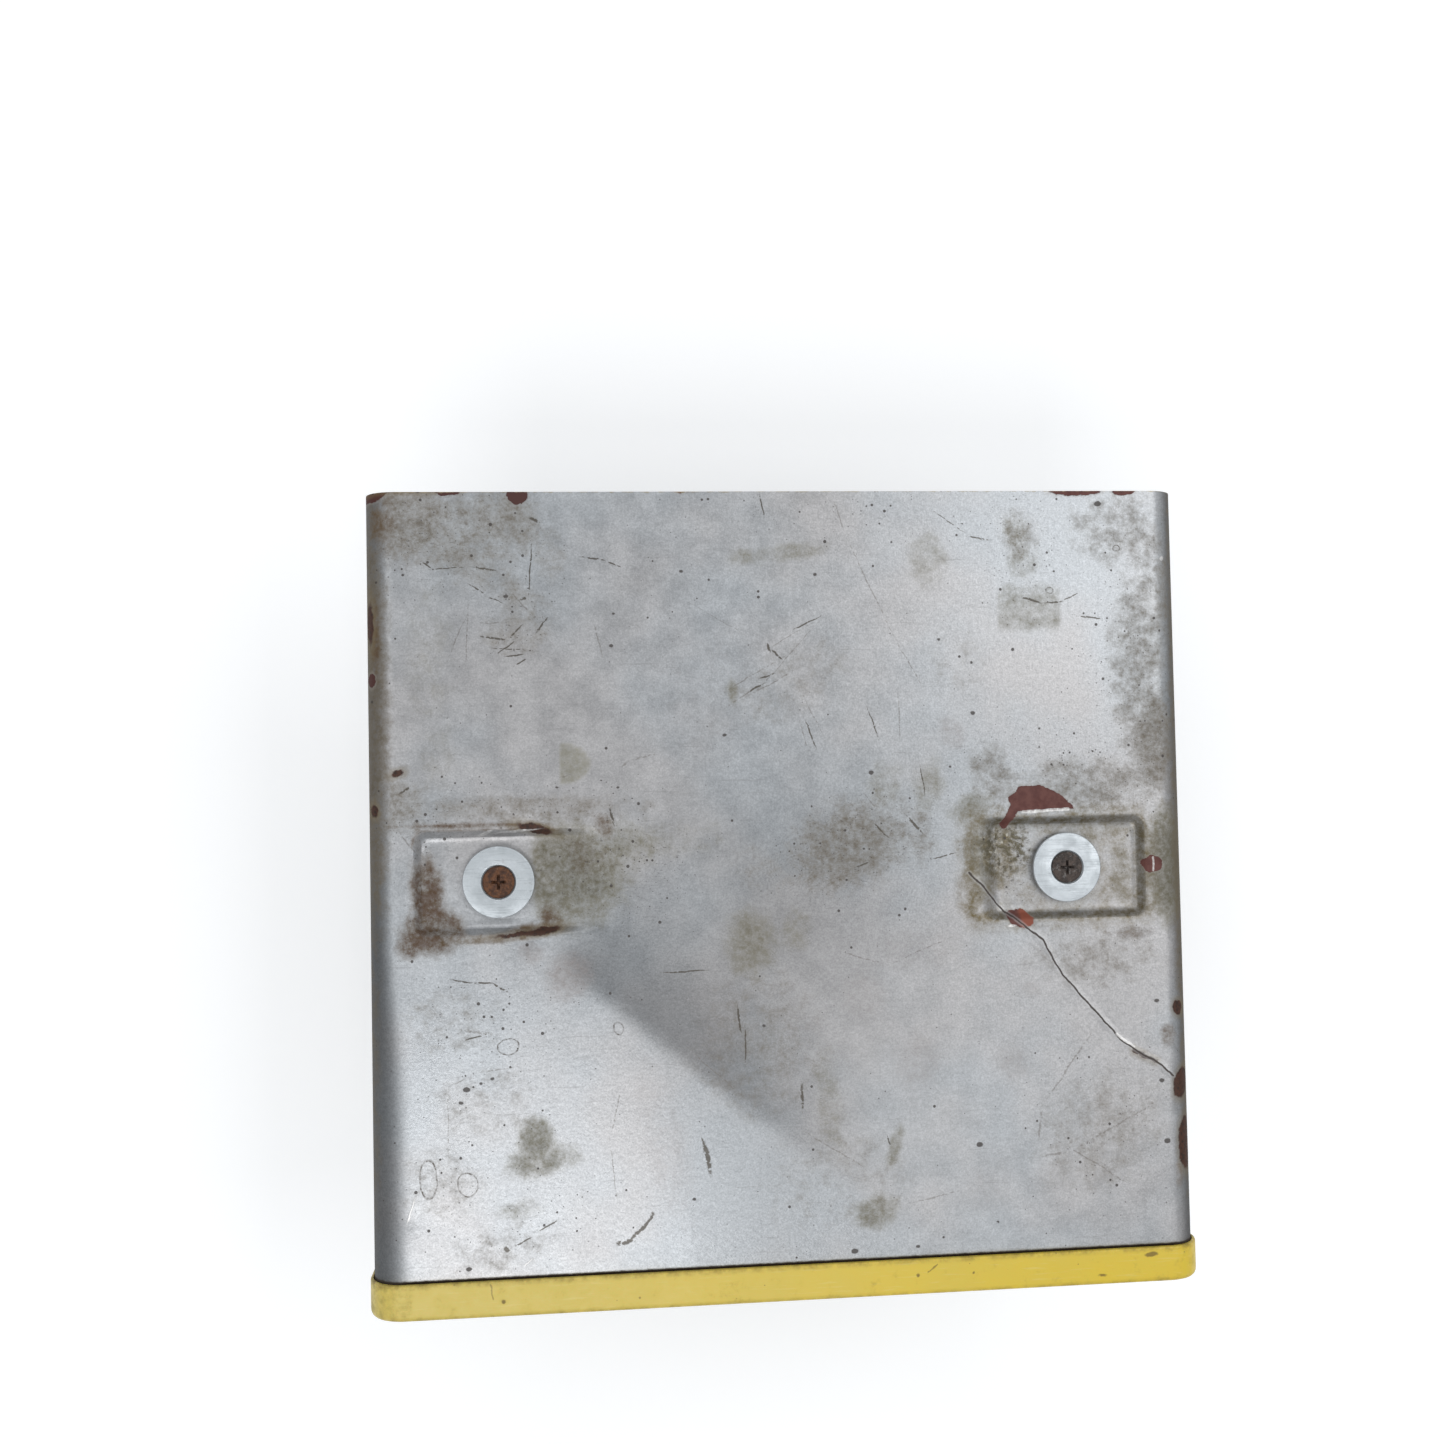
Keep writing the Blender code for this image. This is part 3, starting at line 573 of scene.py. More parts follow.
def make_board(front, back):
    """Silver sheet with rolled sides, pressed wells, dents and screw holes."""
    x_lines = grid_lines(-FLAT_HALF, FLAT_HALF, wall_zones(WELL_FAR))
    lip_lines = (LIP_REAR_Y, LIP_REAR_Y + 0.25)
    y_lines = grid_lines(SHEET_FRONT_Y, REAR_Y, wall_zones(WELL_HALF), lip_lines)
    outer = channel(HALF_WIDTH, 0.0, EDGE_RADIUS, FLANGE_LOW, x_lines)
    inner = channel(HALF_WIDTH - SHEET, -SHEET, EDGE_RADIUS - SHEET, FLANGE_LOW, x_lines)
    grids = [sheet_surface(outer, y_lines, False), sheet_surface(inner, y_lines, True)]
    points = np.concatenate([grid.reshape(-1, 3) for grid in grids])

    rows, columns = grids[0].shape[:2]
    index = np.arange(rows * columns).reshape(rows, columns)
    under = index + rows * columns
    quads = np.stack([index[:-1, :-1], index[1:, :-1], index[1:, 1:], index[:-1, 1:]], -1)
    top_faces = quads.reshape(-1, 4)
    back_faces = top_faces[:, ::-1] + rows * columns
    rims = []
    for outside, inside in ((index[:, 0], under[:, 0]), (index[-1], under[-1])):
        rims.append(np.stack([outside[1:], outside[:-1], inside[:-1], inside[1:]], -1))
    for outside, inside in ((index[:, -1], under[:, -1]), (index[0], under[0])):
        rims.append(np.stack([outside[:-1], outside[1:], inside[1:], inside[:-1]], -1))
    rim_faces = np.concatenate(rims)
    faces = np.concatenate([top_faces, rim_faces, back_faces]).tolist()
    indices = [0] * (len(top_faces) + len(rim_faces)) + [1] * len(back_faces)

    mesh = bpy.data.meshes.new("fine_plate")
    mesh.from_pydata((points * MM).tolist(), [], faces)
    mesh.polygons.foreach_set("material_index", indices)
    board = bpy.data.objects.new("fine_plate", mesh)
    bpy.context.scene.collection.objects.link(board)
    for look in (front, back):
        board.data.materials.append(look.material)
    outward(board.data)
    for side in (-1, 1):
        drill(board, (side * SCREW_X, 0.0), WELL_SCREW_HOLE, -7.0, -2.0, sharp=SHEET_SHARP)
    for x in CAP_SCREW_X:
        drill(board, (x, CAP_SCREW_Y), CAP_SCREW_HOLE, -3.0, 1.0, sharp=SHEET_SHARP)
    paint_board(board.data)
    shade(board.data, SHEET_SHARP)
    finish_piece(board, "head", ("plate",))
    return board


# ---------------------------------------------------------------- front lip


def middle(node):
    """Middle of a CAD node in plan, in millimetres."""
    low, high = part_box(node)
    return ((low.x + high.x) / 2 / MM, (low.y + high.y) / 2 / MM)


CAP_SCREW_X = [middle(f"cap_screw_{n}")[0] for n in range(1, 5)]
CAP_SCREW_Y = middle("cap_screw_1")[1]
LIP_THICK = 5.5
LIP_RADIUS = 12.0
LIP_WEB = 3.0
LIP_SLOT = 1.8
CAP_SCREW_HOLE = 1.8
WELL_SCREW_HOLE = 4.0


def lip_section(lean):
    """U section as (y, depth under the outer surface); lean is 0 on top and 1 on the sides."""
    across = math.sqrt(max(0.0, 1.0 - lean * lean))
    slot_top = 0.7 + across + 0.25 * lean
    slot_low = slot_top + LIP_SLOT
    corners = [
        (LIP_FRONT_Y, 0.0),
        (LIP_REAR_Y, 0.0),
        (LIP_REAR_Y, slot_top),
        (LIP_FRONT_Y + LIP_WEB, slot_top),
        (LIP_FRONT_Y + LIP_WEB, slot_low),
        (LIP_REAR_Y, slot_low),
        (LIP_REAR_Y, LIP_THICK),
        (LIP_FRONT_Y, LIP_THICK),
    ]
    radii = [2.4 + 1.4 * lean, 0.7, 0.25, 0.3, 0.3, 0.25, 0.6, 1.2]
    return fillet(corners, radii, 5)


def make_lip(look):
    """Moulded yellow lip that grips the sheet's front end and both rolled edges."""
    half = lip_high.x
    flat_x = np.linspace(-half + LIP_RADIUS, half - LIP_RADIUS, 90)
    stations = channel(half, LIP_TOP, LIP_RADIUS, lip_low.z, flat_x)
    points, count = [], 0
    for x, z, nx, nz in stations:
        section = lip_section(abs(nx))
        count = len(section)
        wobble = 0.12 * (0.5 + 0.5 * math.sin(x / 17.0)) * nz
        for y, depth in section:
            sag = wobble * max(0.0, 1.0 - depth)
            points.append((x - (depth + sag) * nx, y, z - (depth + sag) * nz))
    faces = []
    for i in range(len(stations) - 1):
        for j in range(count):
            k = (j + 1) % count
            a, b = i * count, (i + 1) * count
            faces.append((a + j, b + j, b + k, a + k))
    faces.append(tuple(range(count)))
    faces.append(tuple(range(len(points) - count, len(points))))
    lip = make_piece("fine_edge_cap", points, faces, [look], "head", ("edge_cap",))
    outward(lip.data)
    for x in CAP_SCREW_X:
        drill(lip, (x, CAP_SCREW_Y), CAP_SCREW_HOLE, -4.5, 1.2, sides=24, sharp=SHEET_SHARP)
    shade(lip.data, SHEET_SHARP)
    return lip


def lip_plastic():
    """Soiled yellow plastic: paler at the left, grimy in its corners, with scuffs and specks."""
    look = Look("soiled_yellow_plastic")
    x, y = look.split(look.at)[:2]
    cloud = look.noise(0.02, 3.0, 0.6)
    patch = look.noise(0.25, 5.0, 0.65)
    along = look.fade(x, -150.0, 130.0)
    colour = look.mix(along, (0.66, 0.515, 0.125), (0.72, 0.52, 0.042))
    colour = look.mix(look.fade(cloud, 0.35, 0.7, 0.0, 0.4), colour, (0.60, 0.47, 0.09))
    scuffs = look.noise(1.0, 3.0, 0.6, look.stretched(3.0, (0.08, 1.0, 1.0)))
    colour = look.mix(look.fade(scuffs, 0.56, 0.7, 0.0, 0.2), colour, (0.80, 0.68, 0.28))
    corner = look.math("MAXIMUM", look.fade(x, -118.0, -149.0), look.fade(x, 118.0, 152.0, 0.0, 0.75))
    dirt = look.plus(patch, look.times(corner, 0.16))
    dirt = look.fade(dirt, 0.56, 0.84)
    colour = look.layer(colour, (0.26, 0.19, 0.04), dirt, 0.4)
    rear_edge = look.fade(y, LIP_REAR_Y - 2.2, LIP_REAR_Y - 0.3)
    front_edge = look.fade(y, LIP_FRONT_Y + 2.4, LIP_FRONT_Y)
    edge = look.math("MAXIMUM", rear_edge, front_edge)
    edge = look.times(edge, look.fade(patch, 0.3, 0.7))
    colour = look.layer(colour, (0.22, 0.15, 0.03), edge, 0.6)
    left = look.times(look.fade(x, -138.0, -150.0), look.fade(patch, 0.3, 0.7))
    colour = look.layer(colour, (0.24, 0.20, 0.06), left, 0.3)
    flat = look.flat_at()
    wavy = look.shaken([(0.3, 1.2), (1.2, 0.5)], flat)
    specks = look.nearest([
        look.ellipse(wavy, (-103.0, -145.0), (0.7, 0.6)),
        look.ellipse(wavy, (43.5, -143.5), (0.6, 0.6)),
        look.ellipse(wavy, (63.5, -143.5), (0.4, 0.4)),
        look.ellipse(wavy, (129.5, -140.5), (2.2, 0.8)),
        look.ellipse(wavy, (111.0, -147.0), (1.2, 0.4)),
        look.stroke(wavy, (-107.5, -139.0), (-106.5, -144.0), 0.1),
        look.stroke(wavy, (50.5, -140.0), (47.0, -142.5), 0.15),
    ])
    colour = look.mix(look.fade(specks, 0.3, -0.2, 0.0, 0.8), colour, (0.14, 0.09, 0.02))
    dots = random_dots(look, flat, 0.5, 0.25, 0.10)
    colour = look.layer(colour, (0.20, 0.13, 0.03), dots, 0.6)
    roughness = look.fade(patch, 0.3, 0.7, 0.36, 0.55)
    peel = look.bump(look.noise(0.5, 3.0, 0.55), 0.06)
    scuffed = look.minus(1.0, look.times(look.fade(scuffs, 0.56, 0.66), 0.5))
    worn = look.bump(scuffed, 0.03, under=peel)
    look.set(Base_Color=colour, Roughness=roughness, Normal=worn)
    look.set(Subsurface_Weight=0.06, Subsurface_Scale=0.002, Specular_IOR_Level=0.45)
    return look


# ---------------------------------------------------------------- board wear

# Soft stains: place and half sizes in millimetres on the board, turn in degrees, strength.
# Grey-brown grime:
GRIME = [
    ((-132, 127), (16, 14), 0, 0.8),
    ((-116, 122), (20, 15), -25, 0.62),
    ((-99, 128), (15, 10), -20, 0.72),
    ((-98, 103), (20, 6), -35, 0.5),
    ((-95, 88), (12, 8), 0, 0.5),
    # The next three long strips lie on the rolled edges and darken them: grime there and painted shade of
    # the rolls.
    ((-147, 60), (7, 82), 0, 0.95),
    ((-149, -70), (4, 60), 0, 0.6),
    ((148, 20), (5, 130), 0, 0.9),
    ((-95, 26), (42, 5), 0, 0.55),
    ((-137, 28), (10, 10), 0, 0.6),
    ((-84, 118), (6, 14), 10, 0.4),
    ((131, 72), (10, 34), 0, 0.62),
    ((125, 124), (17, 14), 0, 0.5),
    ((137, 46), (9, 20), 0, 0.85),
    ((139, 98), (8, 30), 0, 0.55),
    ((88, 122), (7, 9), 15, 0.5),
    ((112, 30), (26, 10), 0, 0.6),
    ((76, 34), (8, 12), 20, 0.6),
    ((22, 10), (22, 15), 20, 0.75),
    ((-7, 2), (14, 10), 0, 0.3),
    ((44, 14), (9, 12), 30, 0.5),
    ((-12, -60), (26, 22), 70, 0.35),
    ((15, -110), (30, 20), 0, 0.22),
    ((112, -34), (24, 9), 0, 0.45),
    ((112, -96), (24, 20), 30, 0.4),
    ((-120, -48), (18, 12), 0, 0.32),
    ((-110, -76), (20, 14), 0, 0.28),
    ((-105, -128), (20, 8), 10, 0.35),
    ((-124, -104), (14, 12), 0, 0.35),
    ((64, 75), (12, 14), 0, 0.22),
    ((4, 70), (24, 12), 30, 0.3),
]
# Olive dirt:
OLIVE = [
    ((-91, -90), (6, 8), 10, 0.95),
    ((-91, -98), (11, 6), 10, 0.8),
    ((-80, -96), (6, 4), -20, 0.5),
    ((-97, -114.5), (8, 3.5), 8, 0.5),
    ((86.5, 123.5), (4.5, 7), 20, 0.6),
    ((-14, -24), (9.5, 12), 0, 0.75),
    ((2, -20), (6, 8), 0, 0.5),
    ((36, 31), (7, 9), 0, 0.45),
    ((52, 31), (6, 10), -10, 0.55),
    ((36.5, -98), (2.6, 8), -18, 0.75),
    ((29, -121), (8.5, 6), 12, 0.8),
    ((18, -98), (12, 9), 0, 0.2),
    ((13, -82), (5, 22), 6, 0.45),
    ((-19, 66), (1.8, 5), 6, 0.85),
    ((2, 116), (14, 3.5), 8, 0.6),
    ((-14.5, 114.5), (5, 3.5), 0, 0.6),
    ((53.5, 113), (8, 10), 0, 0.5),
    ((-126, 80), (9, 26), 0, 0.3),
    ((90, 112), (7, 6), 30, 0.5),
    ((-123, 45), (7, 14), 0, 0.3),
    ((-36, 14), (16, 7), 0, 0.3),
    ((70, 4), (6, 20), 0, 0.7),
    ((68, 23), (9, 5), 15, 0.7),
    ((112, 13), (18, 4), 0, 0.45),
    ((124, -2), (5, 15), 0, 0.5),
    # Painted shade: this patch beside the right well's outer end stands for the shade of that well's outer
    # wall, which the board's shape puts in the wrong place.
    ((141, 0), (8, 20), 0, 1.35),
]
# Faint mauve blots:
MAUVE = [
    ((-79, -34), (8.5, 9), -35, 0.85),
    ((-92, -25), (5, 4), -30, 0.7),
    ((45, -68), (10, 11), -25, 0.5),
    ((81, -70), (7, 7.5), 20, 0.5),
    ((61, 50), (5, 6.5), 30, 0.6),
    ((48, -28), (16, 9), 0, 0.35),
    ((26, -44), (9, 10), 0, 0.4),
    ((-26, 66), (24, 24), 0, 0.28),
    ((68, -117), (8, 10), 0, 0.3),
    ((88, -44), (4, 3), 0, 0.5),
    ((-46, -95), (8, 32), 12, 0.4),
]
# Brown, rusty dirt:
RUST_BROWN = [
    ((-128, -3), (5.5, 13), 8, 1),
    ((-126, -17), (11, 7.5), 0, 1.15),
    ((-134, -21), (5, 5), 0, 0.85),
    ((-90, -17.5), (10, 2.4), 4, 0.95),
    ((-85, -14), (4, 6), 20, 0.75),
    ((-104, -20), (18, 1.6), 3, 0.7),
    ((-88, 19), (7, 1.5), -14, 1),
    ((-112, 20.2), (26, 0.9), 0, 0.8),
    ((-131, 16), (1.2, 9), 0, 0.5),
    ((-66, 19), (3, 6), 30, 0.7),
    ((-72, 8), (9, 8), 0, 0.35),
    ((-142, 127), (5, 10), 0, 0.6),
    ((-145, 86), (2.2, 14), 0, 0.7),
    ((139, -62), (3, 5), 0, 0.7),
    ((142, -112), (2, 6), 0, 0.6),
    ((126, -24), (9, 2.5), 0, 0.5),
    ((-30, 112), (2, 2), 0, 0.2),
]
# Where the paint is thick with specks:
SPECKLED = [
    ((-95, 92), (13, 10), -20, 0.9),
    ((-118, 118), (30, 20), 0, 0.6),
    ((-88, 112), (10, 14), 0, 0.6),
    ((20, 8), (24, 18), 10, 0.8),
    ((46, 14), (10, 14), 0, 0.6),
    ((-60, 4), (24, 20), 0, 0.9),
    ((-128, 22), (16, 14), 0, 0.7),
    ((-100, 28), (44, 10), 0, 0.5),
    ((125, 60), (18, 60), 0, 0.5),
    ((88, 115), (18, 24), 0, 0.6),
    ((118, -88), (28, 26), 0, 0.35),
    ((-104, -56), (24, 24), 0, 0.5),
    ((-104, -112), (34, 22), 0, 0.4),
    ((82, 6), (12, 16), 0, 1),
    ((105, 42), (36, 14), 0, 0.5),
    ((20, 130), (60, 12), 0, 0.35),
]
# Painted shade, a dark diagonal zone that stands for the reflection of something dark above the board: a
# point on its crisp lower edge and that edge's direction.
SHADE_FROM = (-74.0, -36.0)
SHADE_ALONG = (0.77, -0.638)


def soft_patch(x, y, centre, radii, turn, soft=0.55):
    """Ellipse that is 1 inside and fades to 0 round its edge."""
    angle = math.radians(turn)
    dx, dy = x - centre[0], y - centre[1]
    u = (dx * math.cos(angle) + dy * math.sin(angle)) / radii[0]
    v = (dy * math.cos(angle) - dx * math.sin(angle)) / radii[1]
    return smooth_step((1 + soft - np.hypot(u, v)) / (2 * soft))


def patches(x, y, items):
    """Strongest of several soft stains at each point."""
    total = np.zeros_like(x)
    for centre, radii, turn, strength in items:
        total = np.maximum(total, strength * soft_patch(x, y, centre, radii, turn))
    return total


def squarish(x, y, low, high):
    """Rounded rectangle that is 1 inside and fades over its edge."""
    radius = 3.0
    soft = 1.2
    out_x = np.maximum(np.maximum(low[0] - x, x - high[0]) + radius, 0.0)
    out_y = np.maximum(np.maximum(low[1] - y, y - high[1]) + radius, 0.0)
    return smooth_step(0.5 - (np.hypot(out_x, out_y) - radius) / (2 * soft))


def shade_zone(x, y):
    """Painted shade: a dark diagonal zone, crisp along its lower edge, slowly fading above it, with a darker
    middle and a darker strip near the front.
    """
    dx, dy = x - SHADE_FROM[0], y - SHADE_FROM[1]
    along = dx * SHADE_ALONG[0] + dy * SHADE_ALONG[1]
    above = dy * SHADE_ALONG[0] - dx * SHADE_ALONG[1]
    ends = smooth_step((along + 28.0) / 30.0) * smooth_step((165.0 - along) / 125.0)
    band = smooth_step((above + 7.0) / 13.0) * np.exp(-np.maximum(above, 0.0) / 48.0) * ends
    # A broad darker middle, also painted shade.
    middle = 0.45 * soft_patch(x, y, (0.0, -8.0), (48.0, 50.0), 0, 0.8)
    # Near the front, painted shade makes the board a little darker to the right of a nearly straight line.
    side = (x + 50.0) + 0.15 * (y + 60.0)
    front = 0.24 * smooth_step(side / 4.0) * smooth_step((-35.0 - y) / 30.0) * smooth_step((70.0 - x) / 80.0)
    return np.maximum(np.maximum(band, middle), front)


def well_soil(x, y):
    """Dirt of the wells: lines round the left one, soil round the right one, and its crust."""
    left = rim_distance(x, y, -1)
    right = rim_distance(x, y, 1)
    long_walls = np.abs(y) > WELL_HALF - 5.0
    left_line = np.exp(-(((left + 0.4) / 0.8) ** 2)) * (x < -84.0) * 0.62
    right_line = np.exp(-(((right + 1.6) / 3.4) ** 2)) * 0.8
    right_glow = np.exp(-(((right + 2.5) / 5.0) ** 2)) * 0.55
    near_wall = np.exp(-(((right - 2.0) / 3.0) ** 2)) * 0.45
    crust = soft_patch(x, y, (80.0, 7.0), (11.0, 10.0), 0) * (x > 60)
    inner_end = soft_patch(x, y, (78.0, 6.0), (8.0, 16.0), 0) * 0.8
    right_glow = np.maximum(right_glow, inner_end)
    left_line = np.where(long_walls, left_line, left_line * 0.45)
    return left_line, np.maximum(np.maximum(right_line, right_glow), near_wall) * (x > 0), crust


def paint_board(mesh):
    """Store where the board is stained, soiled and speckled, and where shade and highlights are painted onto
    it.
    """
    x, y = points_of(mesh)[:2]
    left_line, right_soil, crust = well_soil(x, y)
    olive = patches(x, y, OLIVE)
    olive = np.maximum(olive, 0.52 * squarish(x, y, (79.0, 86.0), (103.0, 104.0)))
    fan = soft_patch(x, y, (-79.0, 2.0), (20.0, 17.0), 0, 0.6) * smooth_step((x + 96.0) / 8.0)
    fan = np.maximum(fan, 0.65 * soft_patch(x, y, (-66.0, 11.0), (24.0, 8.0), 6, 0.8))
    olive = np.maximum(olive, 1.2 * fan)
    half_round = soft_patch(x, y, (-81.0, 41.2), (11.0, 7.4), 0, 0.12) * (x > -81.3)
    # The left roll's painted shade, a dark band as if the roll reflected dark surroundings, widens towards
    # the front.
    front = smooth_step((-10.0 - y) / 70.0)
    left_roll_shade = smooth_step((-137.0 + 7.0 * front - x) / (9.0 + 7.0 * front))
    left_roll_shade *= 1.5 - 0.3 * smooth_step((y + 50.0) / 80.0)
    # The right roll gets the same painted shade.
    right_roll_shade = 1.6 * smooth_step((x - 137.0) / 11.5)
    rear_rim = smooth_step((y - (REAR_Y - 1.3)) / 0.8) * smooth_step((-100.0 - x) / 12.0)
    brown = np.maximum(patches(x, y, RUST_BROWN), np.maximum(left_line, 0.55 * rear_rim))
    # Painted highlights: broad lighter patches at the front left, the rear right and the front right of the
    # board.
    bright = soft_patch(x, y, (-105.0, -108.0), (75.0, 60.0), -30, 0.8)
    bright = np.maximum(bright, 0.8 * soft_patch(x, y, (100.0, 112.0), (70.0, 58.0), 0, 0.8))
    bright = np.maximum(bright, 0.35 * soft_patch(x, y, (75.0, -100.0), (80.0, 60.0), 0, 0.8))
    paint(mesh, "grime", patches(x, y, GRIME))
    paint(mesh, "olive", olive)
    paint(mesh, "mauve", patches(x, y, MAUVE))
    paint(mesh, "brown", brown)
    paint(mesh, "tan", half_round)
    paint(mesh, "crust", crust)
    paint(mesh, "well_soil", right_soil)
    paint(mesh, "speckled", np.maximum(patches(x, y, SPECKLED), crust))
    paint(mesh, "shade", shade_zone(x, y))
    paint(mesh, "bright", bright)
    paint(mesh, "turned", np.maximum(left_roll_shade, right_roll_shade))


# ---------------------------------------------------------------- board materials

# Colours, linear.
SILVER_COOL = (0.436, 0.452, 0.468)
SILVER_WARM = (0.450, 0.440, 0.440)
PRIMER = (0.095, 0.029, 0.024)
PRIMER_ORANGE = (0.28, 0.075, 0.04)
RUST = (0.085, 0.040, 0.019)
DIRT_OLIVE = (0.150, 0.130, 0.072)
DIRT_GREY = (0.142, 0.114, 0.076)
DIRT_BROWN = (0.115, 0.074, 0.038)
DARK_LINE = (0.050, 0.036, 0.026)
PALE_EDGE = (0.78, 0.76, 0.74)

# Scratches: start, end and half width, in millimetres.
DEEP_SCRATCHES = [
    ((-105, 82.5), (-92, 82), 0.2),
    ((-99.5, 79.5), (-93, 80.5), 0.35),
    ((-96.5, 76), (-92, 79), 0.3),
    ((-112, 105.5), (-106.5, 102), 0.35),
    ((-106, 101), (-100, 98.5), 0.25),
    ((31, 18), (37, 12.5), 0.4),
    ((52, 4), (62, 6.5), 0.3),
    ((24, 2), (30, 4), 0.35),
    ((30, 60), (34, 48), 0.25),
    ((-108.5, 86.8), (-98.5, 85.4), 0.45),
    ((-98, 86), (-93.5, 91), 0.35),
    ((-88.5, 88), (-84, 93.5), 0.35),
    ((-103, 80), (-96, 85), 0.3),
    ((-89.5, 120), (-91, 101), 0.3),
    ((-90.5, 129.5), (-86.5, 127), 0.6),
    ((-128, 113.5), (-125, 111), 0.4),
    ((-94, 100), (-91.5, 100.6), 0.6),
    ((-72.5, 115), (-63, 113.6), 0.3),
    ((-63.5, 113.6), (-58, 111), 0.3),
    ((-110, 111.3), (-102, 110), 0.35),
    ((-126.5, 110.5), (-112, 111.5), 0.2),
    ((-9, 70.5), (-3.5, 72.5), 0.35),
    ((-13, 65.8), (-7, 69), 0.35),
    ((3, 87.5), (15, 93.5), 0.3),
    ((-4.5, 81), (-0.5, 77.5), 0.45),
    ((-6, 83.5), (-4.8, 80), 0.5),
    ((-6, 129), (-7.5, 137), 0.35),
    ((7, 56), (11, 45), 0.3),
    ((43.5, 20.5), (49.5, 13.5), 0.6),
    ((49, 38.5), (50.5, 27.5), 0.25),
    ((88, 99), (97, 97), 0.4),
    ((97, 97), (104, 97.6), 0.35),
    ((104, 98), (110, 100.6), 0.3),
    ((108.5, 92), (119, 91.3), 0.35),
    ((68, 122), (77, 120), 0.35),
    ((56, 131), (68, 123), 0.2),
    ((-32.6, -93), (-29.8, -105.5), 0.95),
    ((-33, -92), (-31.6, -98), 0.45),
    ((-64, -128), (-57, -127), 1),
    ((-59.5, -127.5), (-50.5, -118.5), 0.7),
    ((-51.5, -120), (-50.8, -117), 0.8),
    ((-103, -127.5), (-101, -128.2), 0.9),
    ((-99, -127), (-93, -124), 0.35),
    ((-91, -122), (-84, -118.5), 0.3),
    ((-120.5, -33.5), (-112, -35), 0.3),
    ((-112, -35), (-105.5, -35.2), 0.35),
    ((-105.5, -35.2), (-100, -38.5), 0.4),
    ((-46, -33.5), (-30, -33), 0.3),
    ((-19.5, -45), (-18, -56), 0.45),
    ((-16.5, -53), (-17, -67), 0.3),
    ((3, -74), (3.3, -84.5), 0.55),
    ((33.5, -94), (35, -98), 0.35),
    ((-63.5, 25.5), (-62, 19), 0.5),
    ((-116, -55), (-107, -52.8), 0.3),
    ((-137, 32), (-133, 34.5), 0.5),
]
FAINT_SCRATCHES = [
    ((19, 137), (24, 121), 0.3),
    ((24, 121), (41, 84), 0.35),
    ((41, 84), (51, 66), 0.3),
    ((-14, 62), (14, 92), 0.25),
    ((-25, 64), (2, 79.5), 0.3),
    ((-18, 62), (7, 75), 0.3),
    ((-22, 60), (-9, 68), 0.3),
    ((-10, 79), (12, 91), 0.2),
    ((5, 68), (14.5, 47.5), 0.25),
    ((5, 56), (8.5, 43), 0.3),
    ((41.5, 66), (42, 46), 0.3),
    ((-113.5, 73), (-112, 101), 0.25),
    ((-120, 78), (-112, 96), 0.25),
    ((-108.5, 91.8), (-98, 91.8), 0.3),
    ((-98, 104), (-88, 92), 0.3),
    ((-68, 92), (-65, 78), 0.35),
    ((-35, 99), (-10, 84), 0.15),
    ((1.5, -90), (28, -107), 0.35),
    ((-121.5, -71), (-112, -66.3), 0.3),
    ((-112, -66.3), (-96.5, -64.6), 0.3),
    ((-121.5, -71), (-121.8, -98), 0.25),
    ((-61, -72), (-65.5, -92), 0.25),
    ((-65.5, -92), (-63, -114), 0.25),
    ((-40, -58), (-16, -80), 0.3),
    ((60, -115), (40, -118.5), 0.35),
    ((136, -85), (101, -103), 0.5),
    ((101, -103), (90, -104), 0.6),
    ((112, -58), (91, -86), 0.5),
    ((91, -86), (89, -100), 0.6),
    ((-118, -51), (-104, -53.6), 0.7),
    ((92, -96), (124, -116), 0.4),
    ((6, 4), (28, 10), 0.3),
    ((10, -4), (26, 1), 0.3),
    ((27, 30), (34, 21), 0.25),
    ((-130, 8), (-138, 20), 0.3),
    ((-56, 42), (-46, 44), 0.5),
    ((-60, 39), (-56, 42), 0.5),
    ((-82, 36), (-76, 37.5), 0.4),
    ((18, -28), (34, -33), 0.3),
    ((60, -24), (36, -33), 0.25),
]
# The long crack from the right well to the right edge:
CRACK = [
    (66, -1),
    (72, -7),
    (79.5, -15.5),
    (88, -22),
    (93, -26),
    (96, -32),
    (100, -39),
    (112.5, -53.5),
    (121, -63),
    (126, -67),
    (133, -71),
    (141, -77),
]
# Dark dots: place and size, in millimetres.
DOTS = [
    ((118, 133.5), 1.6),
    ((67.5, -98.8), 1.5),
    ((-10, -53.5), 0.8),
    ((69, 57), 1.1),
    ((-115, -72), 1.5),
    ((-110, -70), 0.7),
    ((-106, -68.5), 0.8),
    ((-117, -76.5), 1),
    ((137.5, -100.5), 1.5),
    ((136, -78.5), 1.2),
    ((135, -49.5), 1.1),
    ((-61, 94.5), 0.7),
    ((-36.5, 109.5), 0.8),
    ((-62, 83), 0.9),
    ((-99, 101), 1),
    ((-22, 50.5), 1),
    ((-60.5, 32.5), 0.7),
    ((-82, 33), 0.6),
    ((-115, -134), 1.2),
    ((21, -134.5), 1.5),
    ((44, -134), 0.9),
    ((-36, -113.5), 0.8),
    ((57, 84), 0.7),
    ((31, 36), 1.2),
    ((12, 108), 0.9),
]
# Damage: kind of outline and its measures. Where the paint is chipped to the primer:
CHIPS = [
    ("polygon", [
        (83, 20.6), (105.8, 21.4), (105.6, 22.6), (100.5, 26.8), (93.5, 30.2), (86.5, 30.2), (81.5, 25.8),
    ]),
    ("stroke", (84, 23), (80.6, 16.5), 1.8),
    ("ellipse", (84.8, -18.2), (5, 3.2), -15),
    ("ellipse", (134.8, 0.4), (3.7, 3.1), 0),
    ("ellipse", (-94.2, 137.4), (3.6, 3.6), 0),
    ("ellipse", (-146, 138), (6, 3), 10),
    ("ellipse", (-146.6, 72), (1.6, 2.5), 0),
    ("ellipse", (-35.5, 138.8), (3, 0.9), 0),
    ("ellipse", (109.5, 138.4), (9.5, 1.9), 0),
    ("ellipse", (128, 138.4), (4.5, 1.7), 0),
    ("ellipse", (-119, 138.6), (4.5, 1.6), 0),
]
